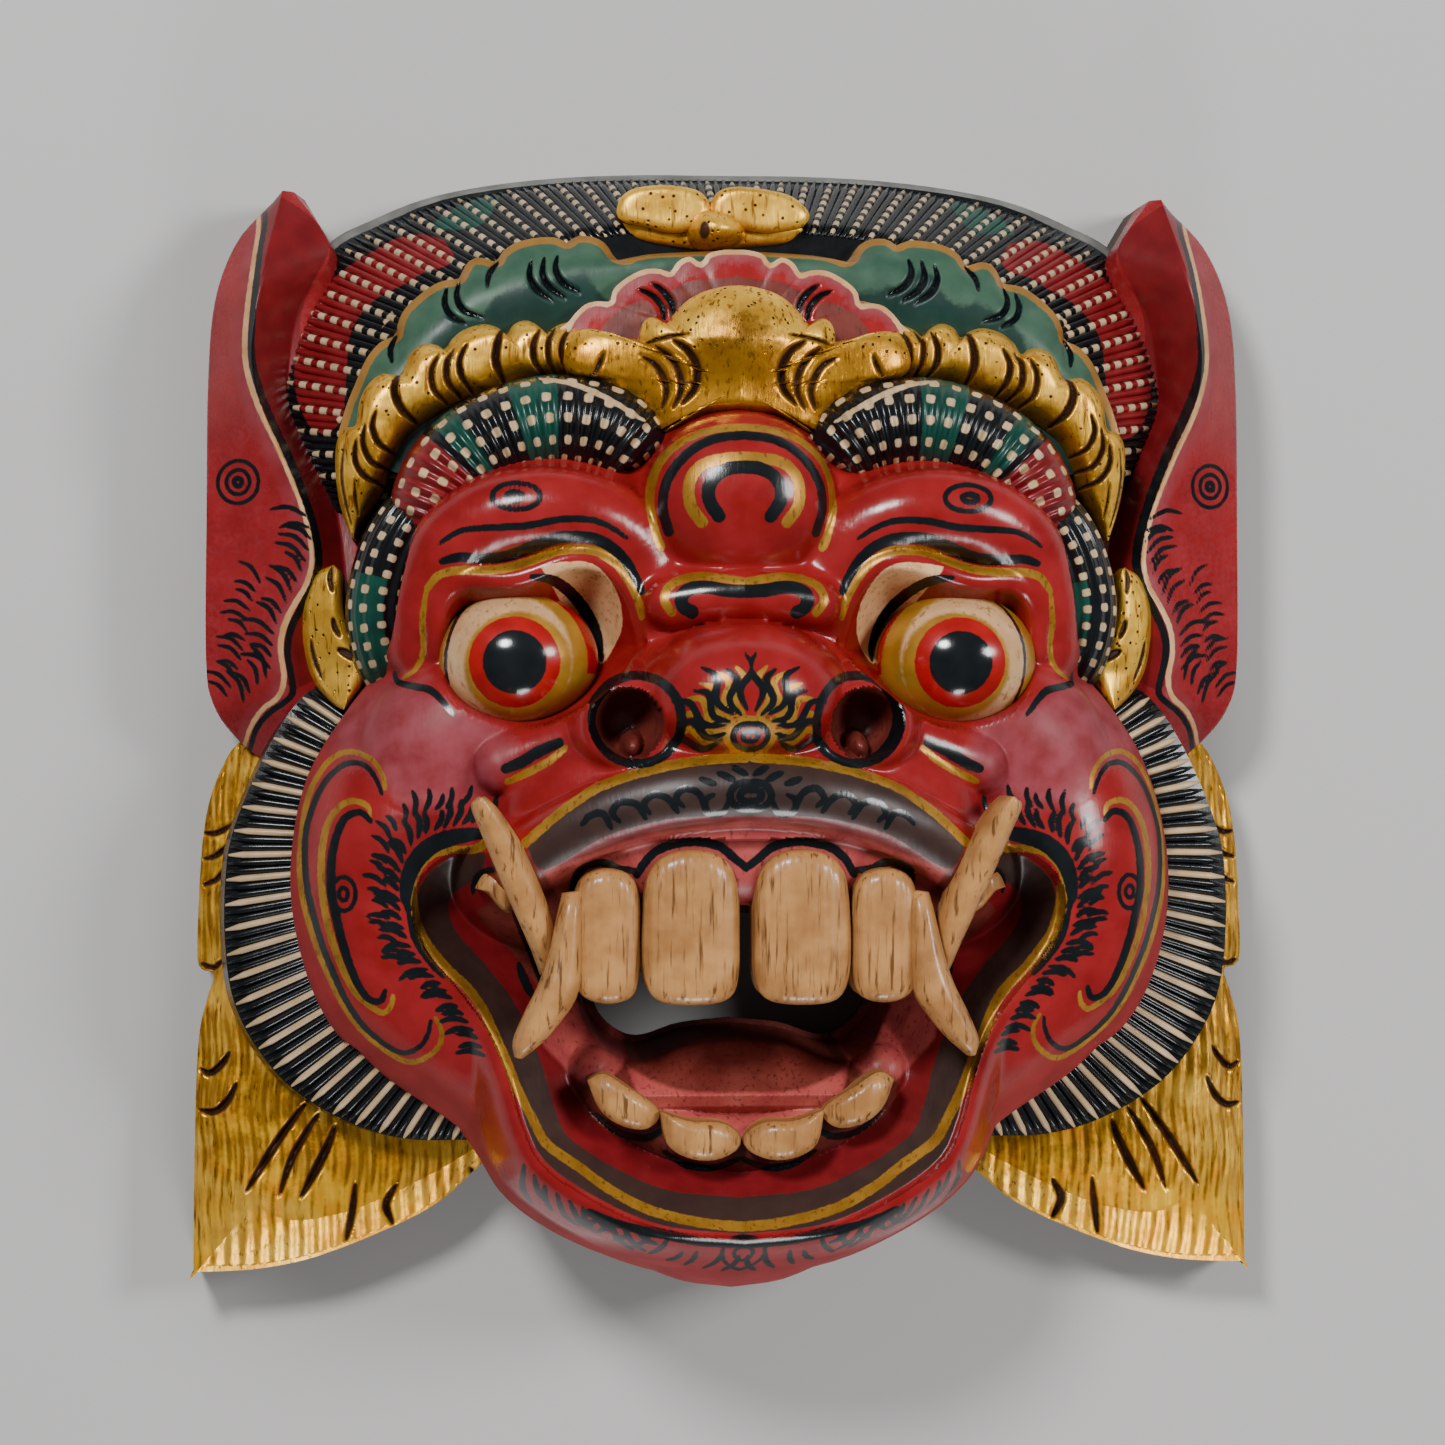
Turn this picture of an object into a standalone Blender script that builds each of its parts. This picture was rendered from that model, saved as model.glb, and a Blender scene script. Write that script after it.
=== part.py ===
"""A carved wooden wall mask of a kirtimukha, lying on its back.

The mask is one block of wood: a deep face with bulging eyes and open jaws, ears, a fan of hair,
a crown of leaves, rolls of hair, a ruff of beard and two leaf wings. The back is hollow, and flat
round its rim. Each form is carved in the carver's unit, which is one millimetre on a mask 300 mm
tall. X points to the right, Y to the crown and Z out of the wall, with the flat back at Z = 0.
"""

import math

import bmesh
import bpy
import numpy as np
from mathutils import Matrix

# Driving sizes, in metres
MASK_HEIGHT = 0.300
MASK_DEPTH = 0.115
BOARD_THICKNESS = 0.018
FRONT_WALL = 0.015
HOLLOW_WIDTH = 0.180
HOLLOW_HEIGHT = 0.206
CHISEL_WIDTH = 0.0013

# The mesh is thinned to this many triangles after carving
MESH_TRIANGLES = 7900

# The height and depth of the drawing, and the size of the carver's unit across and out of the wall
DRAWN_HEIGHT = 299.0
DRAWN_DEPTH = 114.6
UNIT = MASK_HEIGHT / DRAWN_HEIGHT
DEPTH_UNIT = MASK_DEPTH / DRAWN_DEPTH
BOARD = BOARD_THICKNESS / DEPTH_UNIT
WALL = FRONT_WALL / DEPTH_UNIT
HOLLOW_RADII = (HOLLOW_WIDTH / 2 / UNIT, HOLLOW_HEIGHT / 2 / UNIT)

# How far each form starts below the back before the back is cut flat, how far the cutters reach
# past what they cut, and the least thickness of a form
SUNK = -4.0
CUT_MARGIN = 10.0
LEAST_THICKNESS = 0.5

# Paths of the right half, in the carver's unit. A third number is a height.
FACE_SIDE = [(0, -150), (14, -148), (29, -141.5), (46, -135), (60, -124), (70, -109), (94, -92),
             (107, -75), (114, -53), (115, -34), (111, -14), (100, 4), (90, 18), (86, 36), (80, 54),
             (60, 76), (30, 88), (0, 90)]
BOARD_SIDE = [(0, -144), (30, -136), (56, -116), (78, -122), (93, -130), (110, -137), (135, -141),
              (136, -90), (134, -70), (135, -30), (126, -8), (132, 20), (132, 90), (126, 112),
              (116, 118), (104, 126), (80, 140), (44, 146), (0, 147)]
LOWER_LIP = [(0, -128.7), (20, -126.6), (36, -120), (49.5, -111), (54.5, -102), (58, -90), (63, -78),
             (70, -68.4), (79, -58), (82.3, -48.6), (80.5, -40), (73, -34)]
MOUTH_SIDE = LOWER_LIP + [(62, -32), (40, -30), (0, -30)]
THROAT_SIDE = [(0, -79), (14, -80.5), (26, -84), (35, -79), (38, -70), (34, -58), (24, -52), (0, -50)]
UPPER_LIP = [(54, -34, 99), (43, -27, 104), (31, -21.8, 108), (16.5, -18.2, 111), (0, -16.8, 112)]
LOWER_GUM = [(37, -90, 74), (29, -98.5, 77), (15, -105.5, 79), (0, -108, 80)]
SOCKET = [(25, 20), (29, 32), (38, 38.5), (48, 38), (57, 36), (71, 35), (76.5, 28), (78, 17), (73, 7),
          (63, 1), (50, 0.5), (36, 8)]
EYELID = [(24, 19, 80), (27, 31, 84), (34, 39.5, 86), (43, 41, 87), (57, 36.5, 86), (70, 36, 82),
          (76, 30, 78), (77.5, 18, 74)]
BROW = [(23, 34, 82), (30, 47, 86), (44, 53.5, 89), (60, 52.5, 88), (72, 45, 84), (77.5, 32, 78),
        (79, 20, 72)]
BRIDGE = [(18.5, 30, 91), (9, 31.5, 93), (0, 32, 94)]
WHISKER_BUMP = [(60.5, -11, 88), (44, -4.5, 92)]
FACE_CENTRE = (0, -30)
HOLLOW_CENTRE = (0, -24)
NOSTRIL = (30, -0.4)
EYE = (56.4, 16.2)
EYE_RADII = (20.5, 17.5)

EAR = [
    [(121, 142, 22), (130.6, 128, 27), (136.2, 112, 30), (138, 90, 31), (138.4, 54, 31),
     (138.6, 16.7, 30), (136.7, 4.6, 28), (131, -4, 26), (122, -12, 24)],
    [(120, 140, 26), (122.3, 121, 41), (124.9, 106, 45), (125.5, 93, 46), (121.9, 78.5, 47),
     (115.7, 65, 47), (110.6, 51, 47), (110, 37.5, 47), (115.7, 27, 46), (118, 13.7, 43), (115, -8, 34)],
    [(117, 141, 24), (109.7, 134, 27), (106, 127, 28), (107.6, 120, 28), (114, 111, 28),
     (116.8, 97, 28), (117.1, 86.7, 28), (113, 76, 29), (105.6, 61, 32), (102.3, 43.6, 36),
     (102, 30, 38), (106, 12, 38), (106, -8, 34)],
    [(114, 139, 20), (108, 132, 20), (104, 124, 20), (104, 110, 20), (106, 90, 22), (100, 70, 26),
     (86, 50, 34), (82, 30, 38), (86, 10, 38), (92, -8, 34)],
]
HAIR_FAN = [
    [(104, 56, 34), (112, 66, 31), (117, 76, 28), (121, 86, 26), (121, 99, 23), (116, 114, 20),
     (107, 129, 16), (95, 136, 14.5), (80.5, 142, 14), (64, 145.6, 14), (43.7, 148, 14), (21.8, 149, 14),
     (0, 149, 14)],
    [(86, 56, 46), (87, 68, 46), (88, 79, 46), (85.5, 89, 46), (79.5, 101, 46), (71, 112, 46),
     (60, 120, 46), (45, 125, 46), (28, 128.5, 46), (0, 129.5, 46)],
    [(70, 50, 44), (72, 62, 44), (72, 76, 44), (66, 88, 44), (56, 98, 44), (40, 106, 44), (20, 110, 44),
     (0, 111, 44)],
]
LEAF_BAND = [
    [(97, 78, 47), (95.6, 85, 50), (91, 95.5, 51), (83, 105, 52), (71, 116.5, 53), (57.5, 123.5, 53),
     (41, 127.5, 54), (22, 128, 54), (0, 128, 54)],
    [(91, 76, 56), (90, 84, 57), (85, 92.5, 57), (77, 101, 58), (65.5, 109.5, 58), (52, 114, 58),
     (37, 117, 58), (20, 119, 58), (0, 119, 58)],
    [(74, 62, 55), (74, 76, 55), (66, 88, 55), (52, 94, 55), (36, 96, 55), (18, 97, 55), (0, 97, 55)],
]
CURLS = [(20, 87, 62), (29, 93, 65), (44, 96.5, 65), (57, 96.5, 65), (69, 92.5, 65), (81, 84.5, 64),
         (90, 73.5, 62), (95, 60, 60), (98, 46, 56), (98.5, 38, 52)]
UPPER_HAIR = [(22, 66, 76), (26, 70.5, 79), (34.5, 75.8, 80), (48.5, 77.3, 80), (63, 73, 79),
              (73.5, 64.5, 77), (79.5, 52, 74), (81, 46, 70)]
LOWER_HAIR = [(78, 58, 68), (84, 51, 70), (89, 41, 69), (91.5, 28, 66), (89, 15, 60), (85, 8, 52)]
TEMPLE_LEAF = [(104, 37, 46), (107, 29, 50), (106, 18, 52), (101, 7, 51), (98, -1, 46)]
RUFF = [
    [(110, 12, 30), (116, 4, 32), (124, -8, 33), (130, -25, 34), (133, -44, 34), (133.2, -61, 34),
     (129, -80, 34), (119, -97, 33), (102, -109.5, 32), (82, -115, 31), (62, -115, 30)],
    [(108, 10, 36), (114, 2, 39), (121, -10, 41), (127, -26, 42), (129.5, -44, 42), (129.5, -60, 42),
     (125.5, -78, 42), (116, -93.5, 41), (100, -105.5, 40), (81, -110.5, 38), (62, -111, 35)],
    [(84, 12, 42), (92, 5, 43), (103, -4, 45), (110, -18, 45), (113.5, -35, 45), (113, -54, 45),
     (106, -74, 45), (93, -92, 44), (79, -102.5, 42), (60, -107, 36)],
    [(72, 4, 40), (80, -4, 40), (90, -12, 40), (97, -24, 40), (99, -38, 40), (98, -54, 40),
     (92, -70, 40), (80, -84, 40), (68, -92, 38), (54, -97, 34)],
]
WING = [
    [(122, -4, 18), (131, -5.6, 18), (137, -16.4, 18), (140, -29.3, 19), (141.4, -50, 19),
     (141.4, -65, 19), (137.3, -67.4, 19), (139, -74, 20), (141.2, -85, 21), (142.2, -110, 21),
     (142.6, -146.8, 21), (142.2, -147.2, 21), (125.5, -146.5, 21), (110, -143.3, 22), (93, -137, 22),
     (78, -129.5, 22), (65.8, -119, 22)],
    [(118, -8, 26), (125, -14, 27), (129, -30, 27), (131, -50, 27), (130, -68, 27), (131, -84, 28),
     (131, -104, 29), (128, -124, 29), (118, -132, 29), (104, -131, 29), (90, -126, 29),
     (76, -119, 28), (64, -112, 26)],
    [(104, -8, 26), (112, -26, 27), (114, -46, 27), (110, -66, 28), (104, -84, 29), (94, -96, 29),
     (80, -102, 29), (58, -100, 26)],
]
RED_FAN_SIDE = [(0, 84), (24, 84), (40, 96), (37, 105), (28, 112.5), (19, 117), (9, 120), (0, 121)]
CROWN_SIDE = [(0, 76), (13, 74), (21, 74), (30, 82), (38, 92), (37, 98.5), (28, 99), (20.5, 97),
              (15.5, 101), (9.5, 108.5), (0, 111.5)]
UPPER_TEETH = [((13.2, -50.5), (13, 20.5), 84, 103), ((35.2, -52), (9.2, 18), 82, 101)]
LOWER_TEETH = [((10.5, -108), (8.5, 6.5), 60, 84), ((28, -101), (8, 6.5), 58, 81)]
SIDE_TOOTH = ((62, -46), (6, 10), 55, 76)
TUSK = [(65.5, -20, 108), (61, -31, 106), (55, -43, 103), (50.5, -54, 99), (49, -64, 92)]
FANG = [(42, -38, 102), (44.5, -51, 103.5), (47.5, -62.5, 104), (51.5, -72.5, 104), (56.5, -82, 103)]
PETALS = [((12.5, 137), (12.5, 7.5), 42, 50), ((11, 129.5), (10, 5), 42, 48)]
BUD = ((0, 131.5), (5, 6), 42, 53)
FLOWER_STALK = ((0, 128), (26, 10), 38, 46)


def smooth_path(points, count):
    """count points, evenly apart, along a Catmull-Rom curve through the given points."""
    p = np.asarray(points, float)
    p = np.vstack([2 * p[0] - p[1], p, 2 * p[-1] - p[-2]])
    t = np.linspace(0, 1, 9)[:-1, None]
    runs = []
    for a, b, c, d in zip(p, p[1:], p[2:], p[3:]):
        cubic = (2 * a - 5 * b + 4 * c - d) * t**2 + (3 * b - a - 3 * c + d) * t**3
        runs.append(b + 0.5 * ((c - a) * t + cubic))
    fine = np.vstack(runs + [p[-2][None]])
    along = np.r_[0, np.cumsum(np.linalg.norm(np.diff(fine[:, :2], axis=0), axis=1))]
    even = np.linspace(0, along[-1], count)
    return np.column_stack([np.interp(even, along, axis) for axis in fine.T])


def both_sides(half):
    """A path of the right half carried on over the middle to the left half."""
    whole = [tuple(point) for point in half]
    mirrored = [(-point[0], *point[1:]) for point in reversed(whole)]
    return whole + (mirrored[1:] if whole[-1][0] == 0 else mirrored)


def path_distance(x, y, path):
    """The distance of each point to a path, and how far along the path its nearest place lies."""
    best, share = np.full(x.shape, 1e9), np.zeros(x.shape)
    for i, (a, b) in enumerate(zip(path[:-1, :2], path[1:, :2])):
        run = b - a
        t = np.clip(((x - a[0]) * run[0] + (y - a[1]) * run[1]) / max(run @ run, 1e-9), 0, 1)
        gap = np.hypot(x - a[0] - t * run[0], y - a[1] - t * run[1])
        nearer = gap < best
        best, share = np.where(nearer, gap, best), np.where(nearer, (i + t) / (len(path) - 1), share)
    return best, share


def depth_inside(x, y, loop):
    """How far each point lies inside a closed loop. Outside, it is negative."""
    gap, _ = path_distance(x, y, np.vstack([loop, loop[:1]]))
    within = np.zeros(x.shape, bool)
    for a, b in zip(loop, np.roll(loop, -1, axis=0)):
        crosses = (a[1] > y) != (b[1] > y)
        within ^= crosses & (x < (b[0] - a[0]) * (y - a[1]) / (b[1] - a[1] + 1e-12) + a[0])
    return np.where(within, gap, -gap)


def smooth_max(a, b, blend):
    return 0.5 * (a + b + np.sqrt((a - b) ** 2 + blend**2))


def smooth_min(a, b, blend):
    return -smooth_max(-a, -b, blend)


def boss(x, y, centre, radii, foot, top, turn=0, power=2):
    """A rounded boss, foot high at its rim and top high at its centre, which drops away outside."""
    c, s = math.cos(math.radians(turn)), math.sin(math.radians(turn))
    dx, dy = x - centre[0], y - centre[1]
    q = np.hypot((dx * c + dy * s) / radii[0], (dy * c - dx * s) / radii[1])
    dome = np.sqrt(np.clip(1 - q**power, 0, 1))
    return foot + (top - foot) * np.where(q < 1, dome, 2 * (1 - q))


def roll(x, y, path, radius):
    """A half-round roll along a path, whose third number is the height of the roll's crest."""
    gap, share = path_distance(x, y, path)
    crest = np.interp(share, np.linspace(0, 1, len(path)), path[:, 2])
    q = gap / radius
    return crest - radius * np.where(q < 1, 1 - np.sqrt(np.clip(1 - q**2, 0, 1)), 2 * q - 1)


def outline_radius(loop, centre, bearing):
    """The distance from a centre to a loop round it, in the direction of each bearing."""
    dx, dy = loop[:, 0] - centre[0], loop[:, 1] - centre[1]
    around = np.arctan2(dx, dy)
    order = np.argsort(around)
    return np.interp(bearing, around[order], np.hypot(dx, dy)[order], period=2 * math.pi)


FACE_LOOP = smooth_path(both_sides(FACE_SIDE), 160)
BOARD_LOOP = smooth_path(both_sides(BOARD_SIDE), 160)
MOUTH_LOOP = smooth_path(both_sides(MOUTH_SIDE), 120)
THROAT_LOOP = smooth_path(both_sides(THROAT_SIDE), 60)
SOCKET_LOOP = smooth_path(SOCKET + SOCKET[:1], 50)[:-1]


def carve_mouth(ax, y, z):
    """The open jaws: lips, gums, the funnel of the mouth, the tongue and the hole of the throat."""
    z = smooth_max(z, boss(ax, y, (0, -22), (62, 30), 76, 103, power=2.6), 4)
    lip_gap, _ = path_distance(ax, y, smooth_path(LOWER_LIP, 40))
    lip_height = np.interp(y, [-129, -110, -90, -60, -34], [90, 86, 82, 73, 72])
    z = smooth_max(z, lip_height + 3 - 0.16 * lip_gap**2, 2)
    within = depth_inside(ax, y, MOUTH_LOOP)
    funnel = lip_height - np.interp(within, [0, 2, 9, 17, 27, 40], [0, 2, 8, 15, 26, 30])
    funnel = smooth_max(funnel, boss(ax, y, (0, -30), (54, 21), 66, 99, power=4), 2)
    funnel = smooth_max(funnel, roll(ax, y, smooth_path(LOWER_GUM, 16), 7), 2)
    tongue = np.interp(y, [-103, -98, -95, -90, -80, -70], [66, 77, 79, 74, 60, 46])
    tongue = tongue - 0.5 * np.clip(ax - 26, 0, 60) ** 1.5
    funnel = np.where(within > 12, smooth_max(funnel, tongue, 1.5), funnel)
    z = np.where(within > -1, smooth_min(z, funnel, 1.5), z)
    z = smooth_max(z, roll(ax, y, smooth_path(UPPER_LIP, 20), 9), 1.5)
    throat = depth_inside(ax, y, THROAT_LOOP)
    return np.where(within > 12, smooth_min(z, 52 - 14 * (throat + 2), 3), z)


def carve_nose(ax, y, z):
    """The nose with its flared nostrils, its bridge, and the two whisker bumps."""
    z = smooth_max(z, boss(ax, y, (0, 7), (27, 19), 86, DRAWN_DEPTH, power=2.4), 3)
    z = smooth_max(z, roll(ax, y, smooth_path(WHISKER_BUMP, 6), 7.5), 2)
    z = smooth_max(z, roll(ax, y, smooth_path(BRIDGE, 8), 6.5), 3)
    rim = np.hypot(ax - NOSTRIL[0], y - NOSTRIL[1])
    z = smooth_max(z, 101 - 0.32 * (rim - 9) ** 2, 2)
    return np.where(rim < 9, smooth_min(z, 84 + 0.02 * rim**3, 1.5), z)


def carve_brow(ax, y, z):
    """The brows, the jewel between them, and the eye sockets with their lids."""
    z = smooth_max(z, roll(ax, y, smooth_path(BROW, 20), 11.5), 3)
    z = smooth_max(z, boss(ax, y, (0, 57), (25, 23), 72, 94, power=2.6), 3)
    socket = depth_inside(ax, y, SOCKET_LOOP)
    z = np.where(socket > -1, smooth_min(z, np.maximum(80 - 2.6 * socket, 58), 1.5), z)
    return smooth_max(z, roll(ax, y, smooth_path(EYELID, 20), 3), 1)


def face_height(x, y):
    """The height of the carved face over the flat back."""
    ax = np.abs(x)
    bearing = np.arctan2(ax, y - FACE_CENTRE[1])
    share = np.hypot(ax, y - FACE_CENTRE[1]) / outline_radius(FACE_LOOP, FACE_CENTRE, bearing)
    middle = np.interp(y, [-150, -128, -100, -50, 0, 40, 86], [112, 108, 92, 80, 82, 84, 80])
    z = 30 + (middle - 30) * np.sqrt(np.clip(1 - share**4, 0, 1))
    z = smooth_max(z, boss(ax, y, (85, -36), (31, 52), 42, 80, turn=8), 5)
    z = smooth_max(z, boss(ax, y, (72, -2), (26, 20), 60, 82, turn=-30), 6)
    z = carve_brow(ax, y, carve_nose(ax, y, carve_mouth(ax, y, z)))
    return z


def hollow_height(x, y, share):
    """The hollow of the back: one wall behind the lowest carving, deeper behind nose and cheeks."""
    ax = np.abs(x)
    behind_nose = 26 * np.exp(-((ax / 30) ** 2) - ((y - 8) / 24) ** 2)
    behind_cheek = 11 * np.exp(-(((ax - 70) / 24) ** 2) - ((y + 26) / 30) ** 2)
    behind_throat = -8 * np.exp(-((ax / 60) ** 2) - ((y + 66) / 34) ** 2)
    ceiling = 58 + behind_nose + behind_cheek + behind_throat - WALL
    return ceiling * np.sqrt(np.clip(1 - share**4, 0, 1))


def mound(loop, centre, height, border=0.5):
    """Puts a square grid on the disc inside a loop; height gives Z from X, Y and share of radius."""

    def place(u, v):
        a, b = u * np.sqrt(1 - v * v / 2), v * np.sqrt(1 - u * u / 2)
        bearing, r = np.arctan2(a, b), np.clip(np.hypot(a, b), 0, 1)
        share = border * np.sin(r * math.pi / 2) + (1 - border) * r
        radius = outline_radius(loop, centre, bearing) * share
        x, y = centre[0] + radius * np.sin(bearing), centre[1] + radius * np.cos(bearing)
        return x, y, height(x, y, share)

    return place


def oval(centre, radii, power=2):
    """A closed loop round an oval, squarer with a higher power."""
    around = np.linspace(-math.pi, math.pi, 65)[:-1]
    corner = (np.abs(np.cos(around)) ** power + np.abs(np.sin(around)) ** power) ** (-1 / power)
    return centre + corner[:, None] * np.column_stack([radii[0] * np.sin(around), radii[1] * np.cos(around)])


def pebble(centre, radii, foot, top, power=2, side=1):
    """A grid placed on one oval boss; a higher power gives squarer sides, as on a tooth."""
    centre = (side * centre[0], centre[1])
    rise = 2 if power == 2 else 4
    return mound(oval(centre, radii, power), centre,
                 lambda x, y, share: foot + (top - foot) * np.sqrt(np.clip(1 - share**rise, 0, 1)), 1)


def sheet(guides, side=1, relief=None):
    """Puts a grid on the surface across guide paths: u runs along them, v from the first to the last."""
    curves = np.array([smooth_path(guide, 96) for guide in guides])
    curves[:, :, 0] *= side
    steps = np.linspace(0, 1, curves.shape[1])

    def place(u, v):
        along, row = (u + 1) / 2, (v + 1) / 2 * (len(guides) - 1)
        low = np.clip(np.floor(row).astype(int), 0, len(guides) - 2)
        point = []
        for axis in range(3):
            rows = [np.interp(along, steps, curve[:, axis]) for curve in curves]
            point.append((1 - row + low) * np.choose(low, rows[:-1]) + (row - low) * np.choose(low, rows[1:]))
        x, y, z = point
        return x, y, z + (relief(along, (v + 1) / 2) if relief else 0)

    return place


def band(spine, half_width, drop, side=1, relief=None, thickness=None):
    """Puts a grid on a rounded band along a spine, narrowed to round ends.

    A band with a thickness has its own underside, that far below its spine.
    """
    path = smooth_path(spine, 80) * (side, 1, 1)
    heading = np.gradient(path[:, :2], axis=0)
    heading /= np.linalg.norm(heading, axis=1)[:, None]
    steps = np.linspace(0, 1, len(path))

    def place(u, v):
        along, turn = (u + 1) / 2, v * math.pi / 2
        x, y, z = (np.interp(along, steps, path[:, axis]) for axis in range(3))
        tx, ty = (np.interp(along, steps, heading[:, axis]) for axis in range(2))
        end = np.sqrt(np.clip(1 - np.abs(u) ** 8, 0.02, 1))
        reach = half_width * end * np.sin(turn)
        top = z - drop * (1 - np.cos(turn) * end) + (relief(along, v) if relief else 0)
        spot = (x - ty * reach, y + tx * reach, top)
        return spot + (z - thickness,) if thickness else spot

    return place


def lobes(count, depth):
    """Relief of rounded lobes one after another along a band."""
    return lambda along, across: -depth * (1 - np.abs(np.sin(math.pi * count * along)) ** 0.6)


def edge_lobes(count, depth):
    """Relief of lobes along the first guide of a sheet, which fade away across it."""
    return lambda along, across: lobes(count, depth)(along, across) * np.clip(1 - across, 0, 1)


def block(name, columns, rows, place, floor=SUNK):
    """A closed block: its top is a grid put in place, and its sides drop to a flat floor."""
    bm = bmesh.new()
    bmesh.ops.create_grid(bm, x_segments=columns, y_segments=rows, size=1)
    raised = bmesh.ops.extrude_face_region(bm, geom=bm.faces[:])["geom"]
    raised = {item for item in raised if isinstance(item, bmesh.types.BMVert)}
    grid = np.array([vert.co[:2] for vert in bm.verts])
    x, y, top, *under = place(grid[:, 0], grid[:, 1])
    under = under[0] if under else np.full(len(x), floor)
    for vert, px, py, high, low in zip(bm.verts, x, y, np.maximum(top, under + LEAST_THICKNESS), under):
        vert.co = (px, py, high if vert in raised else low)
    bmesh.ops.recalc_face_normals(bm, faces=bm.faces[:])
    bmesh.ops.transform(bm, matrix=Matrix.Diagonal((UNIT, UNIT, DEPTH_UNIT, 1)), verts=bm.verts[:])
    mesh = bpy.data.meshes.new(name)
    bm.to_mesh(mesh)
    bm.free()
    return bpy.data.objects.new(name, mesh)


def carve_forms():
    """Every form of the front, as blocks that overlap."""
    def pair(name, columns, rows, make, floor=SUNK):
        return [block(name, columns, rows, make(side), floor) for side in (1, -1)]

    forms = [
        block("board", 40, 40, mound(BOARD_LOOP, FACE_CENTRE, lambda x, y, share: x * 0 + BOARD)),
        block("face", 150, 150, mound(FACE_LOOP, FACE_CENTRE, lambda x, y, share: face_height(x, y))),
        block("hair_fan", 110, 12, sheet([both_sides(g) for g in HAIR_FAN])),
        block("leaf_band", 120, 10, sheet([both_sides(g) for g in LEAF_BAND], relief=edge_lobes(14, 4))),
        block("red_fan", 30, 30, mound(smooth_path(both_sides(RED_FAN_SIDE), 80), (0, 98),
                                       lambda x, y, share: 66 - 6 * share**2)),
        block("crown", 40, 40, mound(smooth_path(both_sides(CROWN_SIDE), 90), (0, 90),
                                     lambda x, y, share: 77 - 7 * share**4 - 0.11 * np.abs(x))),
        block("bud", 12, 12, pebble(*BUD)),
        block("stalk", 16, 16, pebble(*FLOWER_STALK)),
    ]
    forms += pair("ear", 60, 18, lambda side: sheet(EAR, side))
    forms += pair("wing", 70, 16, lambda side: sheet(WING, side, edge_lobes(9, 4)))
    forms += pair("ruff", 70, 15, lambda side: sheet(RUFF, side))
    forms += pair("curls", 96, 12, lambda side: band(CURLS, 8.8, 9, side, lobes(7, 4)))
    forms += pair("upper_hair", 50, 14, lambda side: band(UPPER_HAIR, 12, 13, side))
    forms += pair("lower_hair", 40, 12, lambda side: band(LOWER_HAIR, 9.5, 11, side))
    forms += pair("temple_leaf", 30, 10, lambda side: band(TEMPLE_LEAF, 6.5, 7, side))
    forms += pair("eye", 26, 26, lambda side: pebble(EYE, EYE_RADII, 70, 90.5, side=side))
    forms += pair("side_tooth", 10, 10, lambda side: pebble(*SIDE_TOOTH, side=side), 50)
    for spine in (TUSK, FANG):
        forms += pair("tusk", 32, 8, lambda side: band(spine, 5, 6, side, thickness=11))
    for tooth in UPPER_TEETH:
        forms += pair("upper_tooth", 20, 20, lambda side: pebble(*tooth, power=5, side=side), tooth[2])
    for tooth in LOWER_TEETH:
        forms += pair("lower_tooth", 14, 14, lambda side: pebble(*tooth, power=3, side=side), tooth[2] - 8)
    for petal in PETALS:
        forms += pair("petal", 16, 12, lambda side: pebble(*petal, side=side), 38)
    return forms


def evaluated_mesh(obj):
    return bpy.data.meshes.new_from_object(obj.evaluated_get(bpy.context.evaluated_depsgraph_get()))


def keep_outer_body(mesh):
    """Deletes any pocket that was left closed between two forms."""
    bm = bmesh.new()
    bm.from_mesh(mesh)
    waiting, bodies = set(bm.verts), []
    while waiting:
        body, edge = set(), [waiting.pop()]
        while edge:
            vert = edge.pop()
            body.add(vert)
            near = {link.other_vert(vert) for link in vert.link_edges} & waiting
            waiting -= near
            edge.extend(near)
        bodies.append(body)
    loose = set(bm.verts) - max(bodies, key=len)
    bmesh.ops.delete(bm, geom=list(loose), context="VERTS")
    bm.to_mesh(mesh)
    bm.free()


def carve(name, forms, collection):
    """The overlapping forms as one closed body, as fine as the chisel's width, then thinned."""
    bm = bmesh.new()
    for form in forms:
        bm.from_mesh(form.data)
        bpy.data.objects.remove(form)
    mesh = bpy.data.meshes.new(name)
    bm.to_mesh(mesh)
    bm.free()
    carving = bpy.data.objects.new(name, mesh)
    collection.objects.link(carving)
    chisel = carving.modifiers.new("chisel", "REMESH")
    chisel.mode = "VOXEL"
    chisel.voxel_size = CHISEL_WIDTH
    fine = evaluated_mesh(carving)
    carving.modifiers.clear()
    carving.data = fine
    thin = carving.modifiers.new("thin", "DECIMATE")
    thin.ratio = MESH_TRIANGLES / (2 * len(fine.polygons))
    coarse = evaluated_mesh(carving)
    carving.modifiers.clear()
    keep_outer_body(coarse)
    carving.data = coarse
    return carving


def take_away(target, tool, collection):
    """Cuts a tool's shape from the target. The exact solver leaves slivers round the throat."""
    collection.objects.link(tool)
    tool.hide_render = True
    tool.display_type = "WIRE"
    cut = target.modifiers.new(tool.name, "BOOLEAN")
    cut.operation = "DIFFERENCE"
    cut.solver = "MANIFOLD"
    cut.object = tool


def slab_below():
    """Everything below the flat back."""
    reach = DRAWN_HEIGHT + CUT_MARGIN
    return block("below_back", 1, 1, lambda u, v: (u * reach / 2, v * reach / 2, u * 0), -CUT_MARGIN)


def painted_wood():
    material = bpy.data.materials.new("painted_wood")
    material.use_nodes = True
    shader = material.node_tree.nodes["Principled BSDF"]
    shader.inputs["Base Color"].default_value = (0.45, 0.03, 0.025, 1)
    shader.inputs["Roughness"].default_value = 0.35
    return material


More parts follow.
